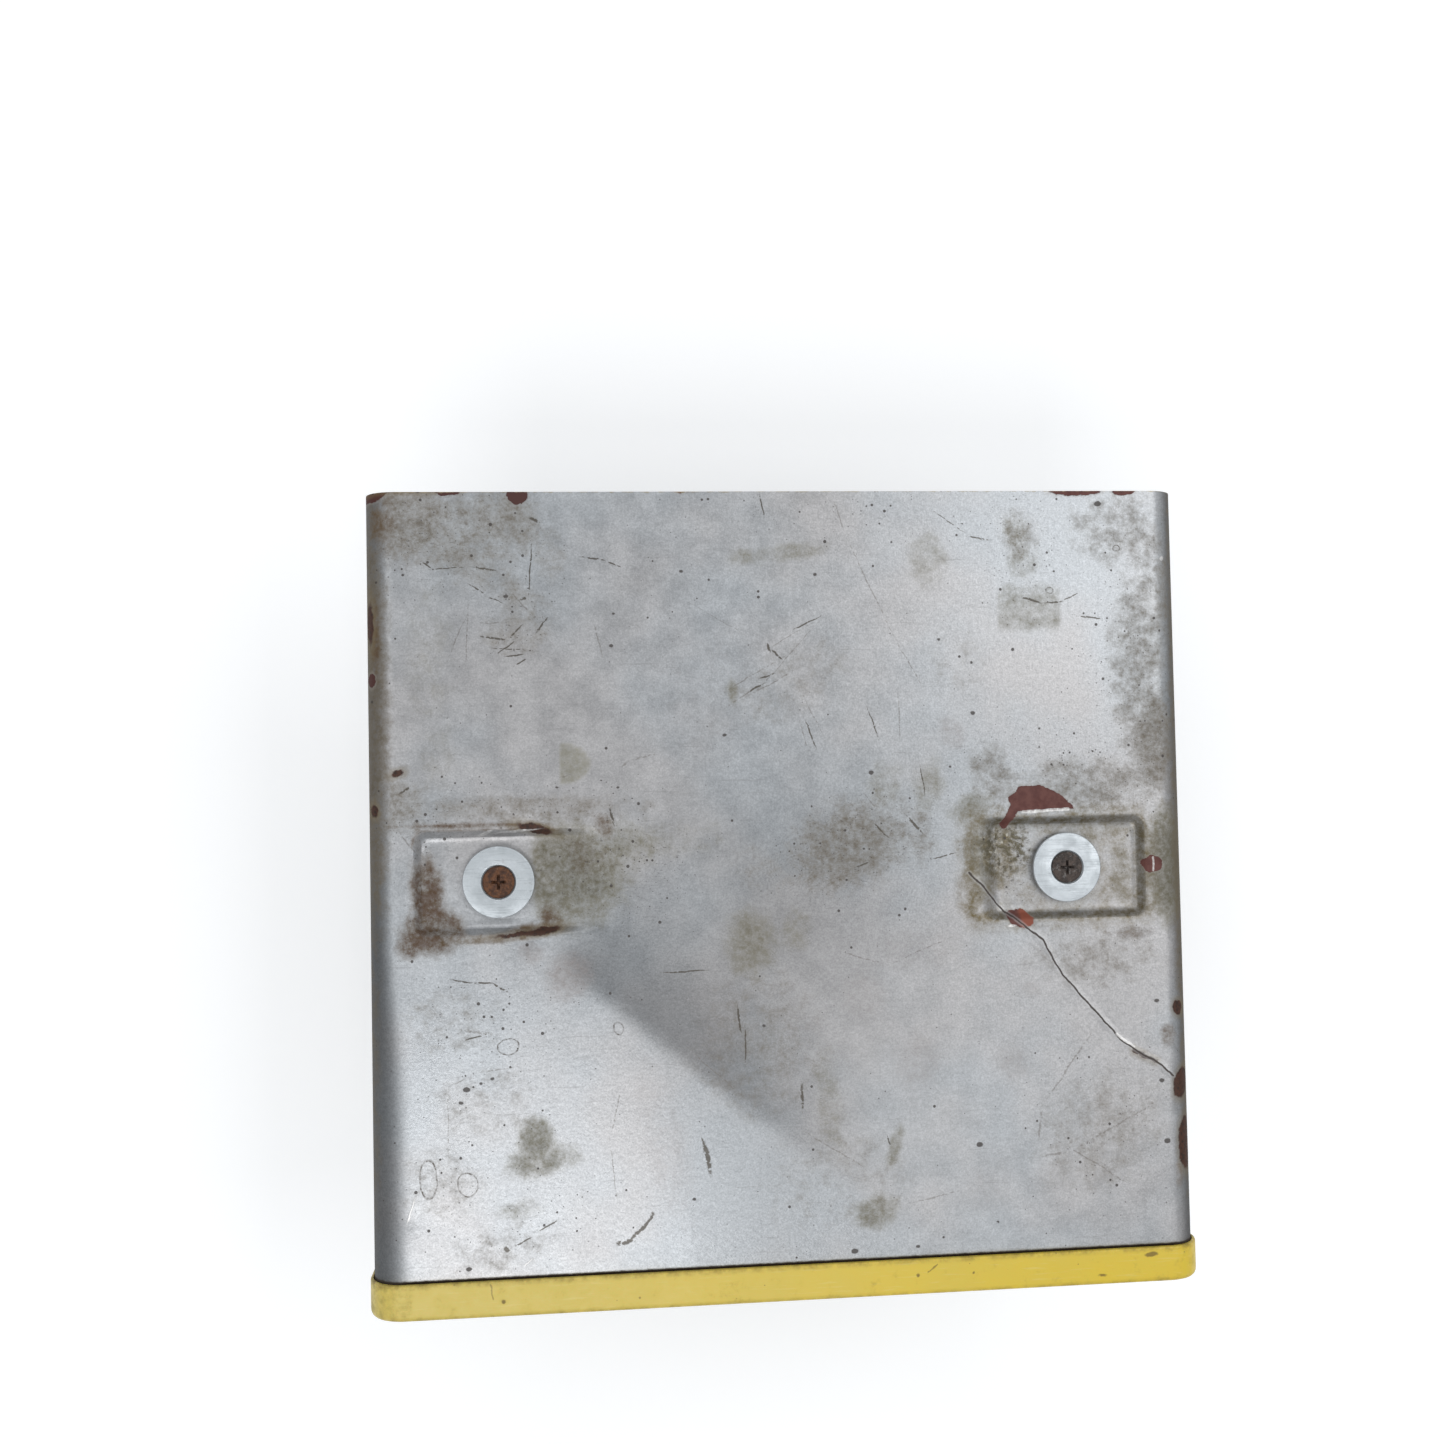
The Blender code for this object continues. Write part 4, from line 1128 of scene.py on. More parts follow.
RUST_SPOTS = [
    ("ellipse", (144, -80), (3.4, 5.6), -12),
    ("ellipse", (145.6, -102), (3.6, 9.5), 0),
    ("ellipse", (143.4, -52.5), (2.2, 2.7), 0),
    ("ellipse", (-147, 92), (1.3, 7), 0),
    ("ellipse", (-146, 26), (1.4, 2.2), 0),
    ("stroke", (-147, 138.6), (-124, 138.7), 0.5),
    ("stroke", (126, -67.5), (134, -71.4), 0.7),
    ("ellipse", (-90, 18.6), (6, 1.5), -14),
    ("ellipse", (-88, -17.6), (6, 1.2), 8),
    ("ellipse", (-97, -18.6), (7, 0.7), 5),
    ("ellipse", (-137.5, 39), (2, 1.1), 20),
]
# Lifted paint edges and bare bright spots. The two marks on the left well's rear wall and the streak on the
# dent near the front left corner are painted highlights.
PALE_SPOTS = [
    ("stroke", (86.5, 20.4), (103.5, 21.2), 0.55),
    ("stroke", (119.8, -61.2), (126, -66), 0.5),
    ("stroke", (134.9, 3), (135.3, -2), 0.35),
    ("ellipse", (81.6, -20.6), (1.6, 0.5), 0),
    ("ellipse", (-107.5, 17.4), (3, 0.6), 20),
    ("ellipse", (-97, 17.8), (8, 0.35), 4),
    ("ellipse", (-134.5, -113), (0.35, 4.5), -18),
    ("ellipse", (-94.5, -132.5), (1.6, 0.3), 40),
    ("ellipse", (142, 113), (0.8, 0.8), 0),
]
RINGS = [
    ("ring", (-128.5, -102.5), (3, 6.6), 0),
    ("ring", (-115, -105), (3.3, 4.2), 10),
    ("ring", (-100.3, -57.7), (3.6, 2.6), 8),
    ("ring", (-61.8, -52.5), (1.8, 2.2), 0),
    ("ring", (124.5, 117), (1.3, 1.1), 0),
    ("ring", (99, 101.5), (1.3, 1.1), 0),
]


def damage_fields(look, flat):
    """Distances outside the board's chips, crack and marks, in millimetres."""
    rough = look.shaken([(0.35, 1.8), (1.3, 0.7)], flat)
    wavy = look.shaken([(0.16, 1.4), (0.9, 0.35)], flat)
    return {
        "chips": look.outlines(rough, CHIPS),
        "rust": look.outlines(rough, RUST_SPOTS),
        "pale": look.outlines(wavy, PALE_SPOTS),
        "rings": look.outlines(wavy, RINGS),
        "crack": look.polyline(wavy, CRACK, 0.3),
    }


def scratch_field(look, at, scratches):
    """Below zero on any of the scratches, each a long thin ellipse."""

    def reach(start, end, half_width):
        run = Vector(end) - Vector(start)
        middle = (Vector(start) + Vector(end)) / 2
        way = run.normalized()
        u = look.along(at, way, middle, 0.52 * run.length)
        v = look.along(at, (-way.y, way.x), middle, half_width)
        return look.squares(u, v)

    nearest = look.nearest(reach(*scratch) for scratch in scratches)
    return look.minus(look.math("SQRT", nearest), 1.0)


def random_dots(look, at, scale, largest, density):
    """Small dark dots of many sizes, more of them where density is higher."""
    cell = look.node("ShaderNodeTexVoronoi", {"Vector": at, "Scale": scale})
    chance = look.split(cell.outputs["Color"])
    size = look.times(look.math("POWER", chance[1], 3.0), largest)
    size = look.plus(size, 0.035)
    inside = look.minus(size, cell.outputs["Distance"])
    inside = look.fade(inside, -0.01, 0.02)
    kept = look.math("GREATER_THAN", density, chance[0])
    return look.times(inside, kept)


def fine_scratches(look, at, turn, scale, share):
    """Many hair scratches along one direction, from stretched noise."""
    place = look.stretched(turn, (0.035, 1.0, 1.0), at)
    lines = look.noise(scale, 1.0, 0.4, place)
    return look.fade(lines, 1.0 - share, 1.04 - share)


def paint_front():
    """Old silver paint over red primer: stains, speckles, scratches, chips and a long crack, with painted
    shade and painted highlights.
    """
    look = Look("worn_silver_paint")
    flat = look.flat_at()
    cloud = look.noise(0.011, 3.0, 0.6)
    mottle = look.noise(0.09, 5.0, 0.62)
    patch = look.noise(0.32, 4.0, 0.6)
    grain = look.noise(1.5, 3.0, 0.75)
    colour = look.mix(look.fade(cloud, 0.38, 0.62), SILVER_COOL, SILVER_WARM)
    tint = look.fade(mottle, 0.3, 0.7, 0.93, 1.06)
    tint = look.times(tint, look.fade(grain, 0.28, 0.72, 0.84, 1.13))
    leather = look.noise(0.62, 3.0, 0.62)
    tint = look.times(tint, look.fade(leather, 0.3, 0.7, 0.93, 1.06))
    streaks = look.noise(0.5, 4.0, 0.7, look.stretched(-14.0, (0.3, 1.0, 1.0)))
    tint = look.times(tint, look.fade(streaks, 0.5, 0.75, 1.0, 0.93))
    # Painted shade: the dark diagonal zone and the darker middle darken the colour.
    tint = look.times(tint, look.fade(look.attribute("shade"), 0.0, 1.0, 1.0, 0.45))
    # Painted highlights: the colour is lighter where the bright attribute is.
    tint = look.times(tint, look.fade(look.attribute("bright"), 0.0, 1.0, 1.0, 1.25))
    # Painted shade on the rolled edges: their colour is darkened where the turned attribute is.
    turned = look.attribute("turned")
    tint = look.times(tint, look.fade(turned, 0.0, 1.6, 1.0, 0.22))
    grey = look.node("ShaderNodeCombineColor", {0: tint, 1: tint, 2: tint}).outputs[0]
    colour = look.mix(1.0, colour, grey, "MULTIPLY")

    blotch = look.noise(0.17, 9.0, 0.72)
    mottled = look.fade(look.noise(0.5, 5.0, 0.7), 0.3, 0.68, 1.0, 0.5)

    def stained(under, name, tone, strength, breakup, amount=0.7):
        level = look.attribute(name)
        ragged = look.times(look.minus(breakup, 0.5), amount)
        level = look.plus(level, look.times(ragged, look.fade(level, 0.0, 0.2)))
        cover = look.times(look.fade(level, 0.08, 1.0, 0.0, strength), mottled)
        under = look.mix(cover, under, tone)
        core = look.times(look.fade(level, 0.6, 1.5, 0.0, 0.6), mottled)
        return look.mix(core, under, tuple(0.45 * part for part in tone)), level

    colour, _ = stained(colour, "mauve", (0.28, 0.24, 0.225), 0.62, patch)
    colour, olive = stained(colour, "olive", DIRT_OLIVE, 0.85, blotch, 1.5)
    colour, _ = stained(colour, "tan", (0.33, 0.31, 0.245), 0.8, patch, 0.2)
    colour, grime = stained(colour, "grime", DIRT_GREY, 0.9, blotch, 2.0)
    colour, brown = stained(colour, "brown", DIRT_BROWN, 1.0, blotch, 1.5)
    core = look.times(look.fade(brown, 0.6, 1.1), look.fade(blotch, 0.42, 0.58))
    colour = look.layer(colour, RUST, core, 0.6)
    crust = look.attribute("crust")
    lumps = look.noise(0.45, 4.0, 0.6)
    colour, _ = stained(colour, "well_soil", (0.155, 0.120, 0.058), 1.05, blotch, 1.6)
    crusty = look.times(crust, look.fade(lumps, 0.45, 0.6))
    colour = look.mix(crusty, colour, (0.11, 0.095, 0.06))
    pale_lumps = look.times(crust, look.fade(lumps, 0.40, 0.33))
    colour = look.mix(pale_lumps, colour, (0.42, 0.40, 0.34))

    density = look.plus(look.times(look.attribute("speckled"), 0.6), 0.05)
    dots = look.farthest([
        random_dots(look, flat, 0.45, 0.25, density),
        look.times(random_dots(look, flat, 1.1, 0.3, density), 0.7),
    ])
    ticks = look.noise(1.4, 2.0, 0.5, look.stretched(35.0, (0.45, 1.0, 1.0)))
    ticks = look.times(look.fade(ticks, 0.645, 0.70), look.attribute("speckled"))
    uneven = look.shaken([(0.9, 0.6)], flat)
    big_dots = look.nearest(look.ellipse(uneven, centre, (0.8 * size, 0.6 * size)) for centre, size in DOTS)
    big = look.fade(big_dots, 0.2, -0.15)
    specks = look.farthest([dots, look.times(ticks, 0.7), big])
    colour = look.layer(colour, (0.055, 0.045, 0.040), specks, 0.9)

    bent = look.shaken([(0.12, 1.5), (0.8, 0.4)], flat)
    wear = look.noise(0.8, 2.0)
    deep = look.plus(scratch_field(look, bent, DEEP_SCRATCHES), look.fade(wear, 0.45, 0.75, 0.0, 0.9))
    deep = look.fade(deep, 0.25, -0.35)
    faint = look.plus(scratch_field(look, bent, FAINT_SCRATCHES), look.fade(wear, 0.35, 0.7, 0.0, 0.9))
    faint = look.fade(faint, 0.3, -0.4)
    hair = look.farthest([
        fine_scratches(look, bent, 22.0, 1.0, 0.27),
        fine_scratches(look, bent, -63.0, 0.9, 0.26),
        fine_scratches(look, bent, 78.0, 1.1, 0.26),
    ])
    colour = look.layer(colour, (0.20, 0.19, 0.185), hair, 0.22)
    colour = look.layer(colour, (0.16, 0.14, 0.12), faint, 0.5)
    colour = look.layer(colour, (0.075, 0.062, 0.045), deep, 0.85)

    fields = damage_fields(look, flat)
    rings = look.fade(fields["rings"], 0.22, -0.05)
    rings = look.times(rings, look.fade(wear, 0.3, 0.6, 1.0, 0.35))
    colour = look.mix(rings, colour, (0.085, 0.070, 0.055))
    chip = look.fade(fields["chips"], 0.12, -0.12)
    primer = look.mix(look.fade(patch, 0.35, 0.65), PRIMER, (0.135, 0.050, 0.040))
    primer = look.mix(look.fade(look.split(look.at)[0], -30.0, -90.0), primer, (0.070, 0.024, 0.019))
    orange = look.fade(look.split(look.at)[1], -12.0, -16.0)
    orange = look.times(orange, look.fade(look.split(look.at)[0], 84.0, 86.0))
    primer = look.mix(look.times(orange, 0.8), primer, PRIMER_ORANGE)
    halo = look.times(look.fade(fields["chips"], 0.9, 0.1), 0.35)
    colour = look.mix(halo, colour, (0.30, 0.27, 0.24))
    colour = look.mix(chip, colour, primer)
    rusty = look.fade(fields["rust"], 0.35, -0.25)
    rust_halo = look.fade(fields["rust"], 2.2, 0.0, 0.0, 0.4)
    colour = look.mix(rust_halo, colour, (0.20, 0.15, 0.075))
    old_rust = look.mix(look.fade(wear, 0.4, 0.7), (0.066, 0.027, 0.016), (0.032, 0.017, 0.012))
    colour = look.mix(rusty, colour, old_rust)
    cracked = look.fade(fields["crack"], 0.14, -0.1)
    # Painted highlight: a pale fringe along the crack's lifted edges.
    colour = look.mix(look.fade(fields["crack"], 0.9, 0.2, 0.0, 0.25), colour, (0.62, 0.62, 0.62))
    colour = look.layer(colour, (0.055, 0.042, 0.035), cracked, 0.95)
    # Pale marks: lifted paint edges, bare spots and some painted highlights.
    pale = look.fade(fields["pale"], 0.15, -0.15)
    colour = look.mix(look.times(pale, look.fade(wear, 0.3, 0.6, 0.95, 0.5)), colour, PALE_EDGE)

    y = look.split(look.at)[1]
    joint = look.plus(y, look.times(look.minus(patch, 0.5), 0.9))
    joint = look.fade(joint, LIP_REAR_Y + 1.15, LIP_REAR_Y + 0.45)
    colour = look.mix(joint, colour, DARK_LINE)
    rear = look.fade(look.plus(y, look.times(patch, 2.4)), REAR_Y + 0.9, REAR_Y + 1.3)
    colour = look.layer(colour, (0.33, 0.27, 0.14), rear, 0.6)

    damage = look.farthest([chip, rusty, cracked])
    soil = look.farthest([
        look.fade(grime, 0.2, 1.0, 0.0, 0.6),
        look.fade(brown, 0.2, 0.9),
        look.fade(olive, 0.2, 1.0, 0.0, 0.5),
    ])
    roughness = look.fade(mottle, 0.3, 0.7, 0.34, 0.46)
    roughness = look.plus(roughness, look.times(look.farthest([damage, soil]), 0.3))
    roughness = look.plus(roughness, look.fade(turned, 0.3, 1.5, 0.0, 0.5))
    metal = look.fade(look.farthest([damage, soil, specks]), 0.1, 0.6, 0.52, 0.0)
    metal = look.times(metal, look.fade(turned, 0.3, 1.5, 1.0, 0.3))

    # One height in millimetres: orange peel, flakes, crusts, sunk damage and curled edges.
    relief = [
        (leather, 0.085),
        (grain, 0.022),
        (look.times(crust, lumps), 0.5),
        (look.times(look.fade(brown, 0.2, 0.9), patch), 0.25),
        (look.farthest([chip, look.times(rusty, 0.8), cracked]), -0.14),
        (look.farthest([look.times(pale, 0.5), look.fade(fields["crack"], 1.8, 0.0)]), 0.12),
    ]
    height = 0.0
    for field, amount in relief:
        height = look.math("MULTIPLY_ADD", field, amount, height)
    look.set(Base_Color=colour, Roughness=roughness, Metallic=metal, Normal=look.bump(height, 1.0))
    look.set(Specular_IOR_Level=0.4, Coat_Weight=0.05, Coat_Roughness=0.28)
    return look


def paint_back():
    """Back of the sheet: thin grey primer with overspray, dust and rust blooms."""
    look = Look("back_primer")
    cloud = look.noise(0.02, 4.0, 0.6)
    patch = look.noise(0.12, 6.0, 0.65)
    grain = look.noise(1.6, 2.0, 0.7)
    colour = look.mix(look.fade(cloud, 0.35, 0.65), (0.19, 0.195, 0.205), (0.27, 0.27, 0.275))
    colour = look.mix(look.fade(patch, 0.52, 0.7, 0.0, 0.7), colour, (0.30, 0.285, 0.25))
    rust = look.fade(look.noise(0.07, 7.0, 0.7), 0.60, 0.68)
    colour = look.layer(colour, look.mix(grain, RUST, (0.22, 0.10, 0.045)), rust, 0.8)
    splash = look.fade(look.noise(0.3, 3.0, 0.5), 0.66, 0.69)
    colour = look.layer(colour, (0.46, 0.45, 0.42), splash, 0.7)
    roughness = look.fade(patch, 0.3, 0.7, 0.5, 0.75)
    peel = look.bump(look.noise(0.7, 4.0, 0.6), 0.06)
    crust = look.bump(look.farthest([splash, look.times(rust, grain)]), 0.25, under=peel)
    look.set(Base_Color=colour, Roughness=roughness, Metallic=0.1, Normal=crust)
    return look


# ---------------------------------------------------------------- hardware materials


def plated(name, bright, dull, roughness, centre=None, dirt=0.3):
    """Zinc plate: clouded, finely scratched, with turning marks round a centre if it has one."""
    look = Look(name)
    cloud = look.noise(0.16, 4.0, 0.6)
    fine = look.noise(2.2, 3.0, 0.6)
    colour = look.mix(look.fade(cloud, 0.35, 0.7, 0.0, 0.6), bright, dull)
    lines = look.farthest([fine_scratches(look, look.at, turn, 2.2, 0.36) for turn in (28.0, 75.0, -40.0)])
    colour = look.layer(colour, tuple(0.45 * v for v in dull), lines, 0.16)
    grime = look.fade(look.noise(0.5, 6.0, 0.7), 0.60, 0.72)
    colour = look.mix(look.times(grime, dirt), colour, (0.16, 0.14, 0.12))
    height = lines
    if centre is not None:
        reach = look.vector("LENGTH", look.vector("SUBTRACT", look.flat_at(), (*centre, 1.0)))
        reach = look.node("ShaderNodeCombineXYZ", {0: reach}).outputs[0]
        rings = look.noise(3.2, 1.0, 0.5, reach)
        colour = look.mix(look.fade(rings, 0.5, 0.7, 0.0, 0.25), colour, dull)
        height = look.plus(lines, rings)
    shine = look.fade(cloud, 0.3, 0.7, roughness - 0.06, roughness + 0.08)
    shine = look.plus(shine, look.times(grime, 0.2))
    look.set(Base_Color=colour, Roughness=shine, Metallic=look.fade(grime, 0.0, 1.0, 0.7, 0.3))
    look.set(Normal=look.bump(height, 0.02, under=look.bump(fine, 0.01)))
    return look


def rusted(name, light, dark, clean, clean_share):
    """Rusty steel with crusts in two browns and a little bare metal left on the high spots."""
    look = Look(name)
    crust = look.noise(0.55, 6.0, 0.7)
    fine = look.noise(1.8, 4.0, 0.7)
    colour = look.mix(look.fade(crust, 0.38, 0.62), dark, light)
    colour = look.mix(look.fade(fine, 0.5, 0.75, 0.0, 0.6), colour, tuple(0.45 * v for v in dark))
    bare = look.fade(look.noise(0.8, 3.0, 0.6), 1.0 - clean_share, 1.08 - clean_share)
    colour = look.mix(bare, colour, clean)
    look.set(Base_Color=colour, Roughness=look.fade(fine, 0.3, 0.7, 0.55, 0.85))
    look.set(Metallic=look.fade(bare, 0.0, 1.0, 0.25, 0.9))
    look.set(Normal=look.bump(look.plus(crust, fine), 0.12))
    return look


def steel(name, tone, roughness, rust_share, grain_turn=0.0):
    """Plain steel: brushed along one direction, stained, with a few rust blooms."""
    look = Look(name)
    cloud = look.noise(0.09, 5.0, 0.62)
    brushed = look.noise(1.6, 3.0, 0.6, look.stretched(grain_turn, (0.05, 1.0, 1.0)))
    colour = look.mix(look.fade(cloud, 0.35, 0.7), tone, tuple(0.62 * v for v in tone))
    colour = look.mix(look.fade(brushed, 0.5, 0.7, 0.0, 0.3), colour, tuple(0.5 * v for v in tone))
    bloom = look.fade(look.noise(0.22, 7.0, 0.72), 1.0 - rust_share, 1.06 - rust_share)
    rust = look.mix(look.noise(1.3, 3.0), RUST, (0.20, 0.085, 0.035))
    colour = look.layer(colour, rust, bloom, 0.85)
    look.set(Base_Color=colour, Metallic=look.fade(bloom, 0.0, 1.0, 0.95, 0.1))
    shine = look.fade(cloud, 0.3, 0.7, roughness, roughness + 0.12)
    look.set(Roughness=look.plus(shine, look.times(bloom, 0.3)))
    look.set(Normal=look.bump(bloom, 0.08, under=look.bump(brushed, 0.02)))
    return look


def bar_paint():
    """Dark grey paint on the cross bar, chipped to bare and rusty steel."""
    look = Look("chipped_bar_paint")
    cloud = look.noise(0.05, 4.0, 0.6)
    fine = look.noise(1.1, 4.0, 0.65)
    colour = look.mix(look.fade(cloud, 0.35, 0.65), (0.075, 0.08, 0.088), (0.115, 0.12, 0.128))
    dust = look.fade(look.noise(0.12, 6.0, 0.7), 0.5, 0.7, 0.0, 0.5)
    colour = look.mix(dust, colour, (0.28, 0.265, 0.235))
    flaking = look.plus(look.noise(0.28, 5.0, 0.7), look.times(fine, 0.12))
    chips = look.fade(flaking, 0.735, 0.75)
    bare = look.mix(look.fade(fine, 0.4, 0.6), RUST, (0.30, 0.29, 0.28))
    colour = look.mix(chips, colour, bare)
    look.set(Base_Color=colour, Metallic=look.times(chips, 0.6))
    look.set(Roughness=look.fade(fine, 0.3, 0.7, 0.42, 0.62))
    peel = look.bump(look.noise(0.8, 3.0, 0.6), 0.05)
    look.set(Normal=look.bump(look.minus(1.0, chips), 0.12, under=peel))
    return look


def black_rubber():
    """Dull black rubber, dusty in patches."""
    look = Look("dusty_black_rubber")
    fine = look.noise(2.0, 5.0, 0.7)
    dust = look.fade(look.noise(0.4, 5.0, 0.7), 0.45, 0.75, 0.0, 0.5)
    look.set(Base_Color=look.mix(dust, (0.018, 0.018, 0.02), (0.12, 0.11, 0.10)))
    look.set(Roughness=look.fade(fine, 0.3, 0.7, 0.7, 0.9), Normal=look.bump(fine, 0.03))
    return look


def dark_foam():
    """Closed-cell foam: fine pores, scuffed and dusted with dried mortar."""
    look = Look("closed_cell_foam")
    cells = look.node("ShaderNodeTexVoronoi", {"Vector": look.at, "Scale": 1.1}).outputs["Distance"]
    pores = look.fade(cells, 0.12, 0.42)
    crease = look.noise(0.22, 6.0, 0.7)
    cloud = look.fade(look.noise(0.05, 4.0, 0.6), 0.35, 0.65)
    colour = look.mix(cloud, (0.030, 0.031, 0.034), (0.052, 0.053, 0.057))
    colour = look.mix(look.fade(crease, 0.50, 0.72, 0.0, 0.55), colour, (0.25, 0.235, 0.21))
    # Painted shade: the pore centres are darker, as shade inside the pores.
    colour = look.layer(colour, (0.01, 0.01, 0.01), look.minus(1.0, pores), 0.5)
    look.set(Base_Color=colour, Roughness=look.fade(crease, 0.3, 0.7, 0.82, 0.97))
    soft = look.bump(crease, 0.3)
    look.set(Normal=look.bump(pores, 0.16, under=soft), Specular_IOR_Level=0.25)
    return look


def turned_wood():
    """Turned beech with growth rings, short rays, worn varnish and grime where the hand holds."""
    look = Look("worn_beech")
    z = look.split(look.at)[2]
    pith = look.vector("ADD", look.at, (26.0, -9.0, 0.0))
    pith = look.vector("MULTIPLY", pith, (1.0, 1.0, 0.05))
    bend = look.noise(0.03, 2.0, 0.5, look.vector("MULTIPLY", look.at, (1.0, 1.0, 0.25)))
    flat = look.vector("MULTIPLY", pith, (1.0, 1.0, 0.0))
    reach = look.plus(look.vector("LENGTH", flat), look.times(bend, 9.0))
    reach = look.plus(reach, look.times(z, 0.022))
    ring = look.math("FRACT", look.math("DIVIDE", reach, 1.7))
    late = look.times(look.fade(ring, 0.25, 0.95), look.fade(ring, 1.0, 0.95))
    fibre = look.noise(2.6, 4.0, 0.65, look.vector("MULTIPLY", look.at, (1.0, 1.0, 0.035)))
    rays = look.noise(1.7, 2.0, 0.5, look.vector("MULTIPLY", look.at, (1.0, 1.0, 0.22)))
    rays = look.fade(rays, 0.63, 0.69)
    colour = look.mix(late, (0.50, 0.285, 0.13), (0.40, 0.205, 0.085))
    colour = look.mix(look.fade(fibre, 0.35, 0.7, 0.0, 0.5), colour, (0.24, 0.115, 0.048))
    colour = look.layer(colour, (0.20, 0.09, 0.035), rays, 0.5)
    held = look.times(look.fade(z, -130.0, -108.0), look.fade(z, -45.0, -70.0))
    hand = look.noise(0.07, 6.0, 0.7)
    soiled = look.fade(look.plus(hand, look.times(held, 0.14)), 0.52, 0.72)
    colour = look.layer(colour, (0.095, 0.06, 0.035), soiled, 0.6)
    splash = look.fade(look.noise(0.18, 4.0, 0.6), 0.69, 0.71)
    colour = look.layer(colour, (0.47, 0.45, 0.41), splash, 0.75)
    varnish = look.fade(look.noise(0.05, 5.0, 0.6), 0.42, 0.58)
    roughness = look.plus(look.fade(varnish, 0.0, 1.0, 0.32, 0.55), look.times(fibre, 0.12))
    grain = look.bump(look.minus(fibre, rays), 0.05)
    look.set(Base_Color=colour, Roughness=roughness, Normal=look.bump(splash, 0.25, under=grain))
    look.set(Coat_Weight=0.2, Coat_Roughness=0.3)
    return look


def brass():
    """Machined brass, tarnished in patches."""
    look = Look("tarnished_brass")
    cloud = look.noise(0.2, 5.0, 0.65)
    fine = look.noise(2.0, 3.0, 0.6, look.vector("MULTIPLY", look.at, (0.2, 0.2, 1.0)))
    colour = look.mix(look.fade(cloud, 0.4, 0.65), (0.66, 0.45, 0.16), (0.30, 0.19, 0.07))
    look.set(Base_Color=colour, Roughness=look.fade(cloud, 0.3, 0.7, 0.25, 0.45), Metallic=1.0)
    look.set(Normal=look.bump(fine, 0.02))
    return look


# ---------------------------------------------------------------- hardware pieces

# How far a cutter goes past a face, and the pitch of an M12 coarse thread, in millimetres.
CUT_PAST = 1.0
M12_PITCH = 1.75


def heights(node):
    """Lowest and highest z of a CAD node, in millimetres."""
    low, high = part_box(node)
    return low.z / MM, high.z / MM


def reach_of(node):
    """Largest radius of a round CAD node, in millimetres."""
    low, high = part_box(node)
    return (high.x - low.x) / 2 / MM


def ribs(radius, depth, low, high, pitch):
    """Profile points of thread crests and roots between two heights, from low to high."""
    points = []
    for i in range(int((high - low) / pitch)):
        z = low + i * pitch
        points += [(radius - depth, z), (radius, z + 0.35 * pitch), (radius, z + 0.55 * pitch)]
    return points + [(radius - depth, high)]


def make_washer(node, inner, looks, body, soft=0.3, sides=96):
    """Flat ring with rolled outer edges, as the CAD node is wide and high."""
    low, high = heights(node)
    outer = reach_of(node)
    profile = fillet([(inner, low), (outer, low), (outer, high), (inner, high)], [0.1, soft, soft, 0.1], 4)
    return add_shape(node, turned_shape(profile, middle(node), sides), looks, body)


def make_penny(node, look):
    """Large washer, gently domed by its screw, with a sunk hole."""
    low, high = heights(node)
    outer = reach_of(node)
    mouth = 6.15
    seat = 4.9
    corners = [
        (seat, low),
        (outer, low),
        (outer, high - 0.12),
        (9.5, high),
        (mouth, high),
        (mouth - 0.1, high - 0.3),
    ]
    profile = fillet(corners, [0.1, 0.35, 0.4, 4.0, 0.25, 0.1], 5)
    return add_shape(node, turned_shape(profile, middle(node), 128), [look], "head")


def make_well_screw(node, look):
    """Countersunk cross-head screw with a thread."""
    low, high = heights(node)
    head = reach_of(node)
    shank = 3.0
    cone = high - 0.25 - (head - shank)
    thread_top = -5.6
    corners = [(0.0, high), (head - 0.5, high), (head, high - 0.3), (shank, cone), (shank, thread_top)]
    soft = fillet(corners, [0.0, 0.4, 0.12, 0.3, 0.1], 4)
    thread = ribs(shank, 0.42, low + 0.8, thread_top - 0.3, 1.0)[::-1]
    profile = soft + thread + [(shank - 0.9, low), (0.0, low)]
    screw = add_shape(node, turned_shape(profile, middle(node), 64), [look], "head")
    cut(screw, cross_cutter(middle(node), high, 3.0, 1.15, 1.8))
    return screw


def make_nut(node, look):
    """Hexagon nut, chamfered on both faces, with a threaded bore."""
    low, high = heights(node)
    centre = middle(node)
    corner = 10.0 / math.sqrt(3)
    outline = []
    for i in range(6):
        turn = math.pi / 3 * i
        outline.append((centre[0] + corner * math.cos(turn), centre[1] + corner * math.sin(turn)))
    nut = add_shape(node, prism_shape([(outline, low), (outline, high)]), [look], "head")
    cone = [
        (0.0, low - 1.0),
        (corner - 2.2, low - 1.0),
        (corner + 1.0, low + 1.0),
        (corner + 1.0, high - 1.0),
        (corner - 2.2, high + 1.0),
        (0.0, high + 1.0),
    ]
    cut(nut, scratch_object("cone", turned_shape(cone, centre, 72)), "INTERSECT")
    bore = [(0.0, low - 1.0), (4.4, low - 1.0), (3.3, low + 0.6)]
    bore += [(3.3 + 0.25 * (i % 2), low + 0.6 + 0.5 * i) for i in range(1, 8)]
    bore += [(3.3, high - 0.6), (4.4, high + 1.0), (0.0, high + 1.0)]
    cut(nut, scratch_object("bore", turned_shape(bore, centre, 48)), sharp=25.0)
    return nut


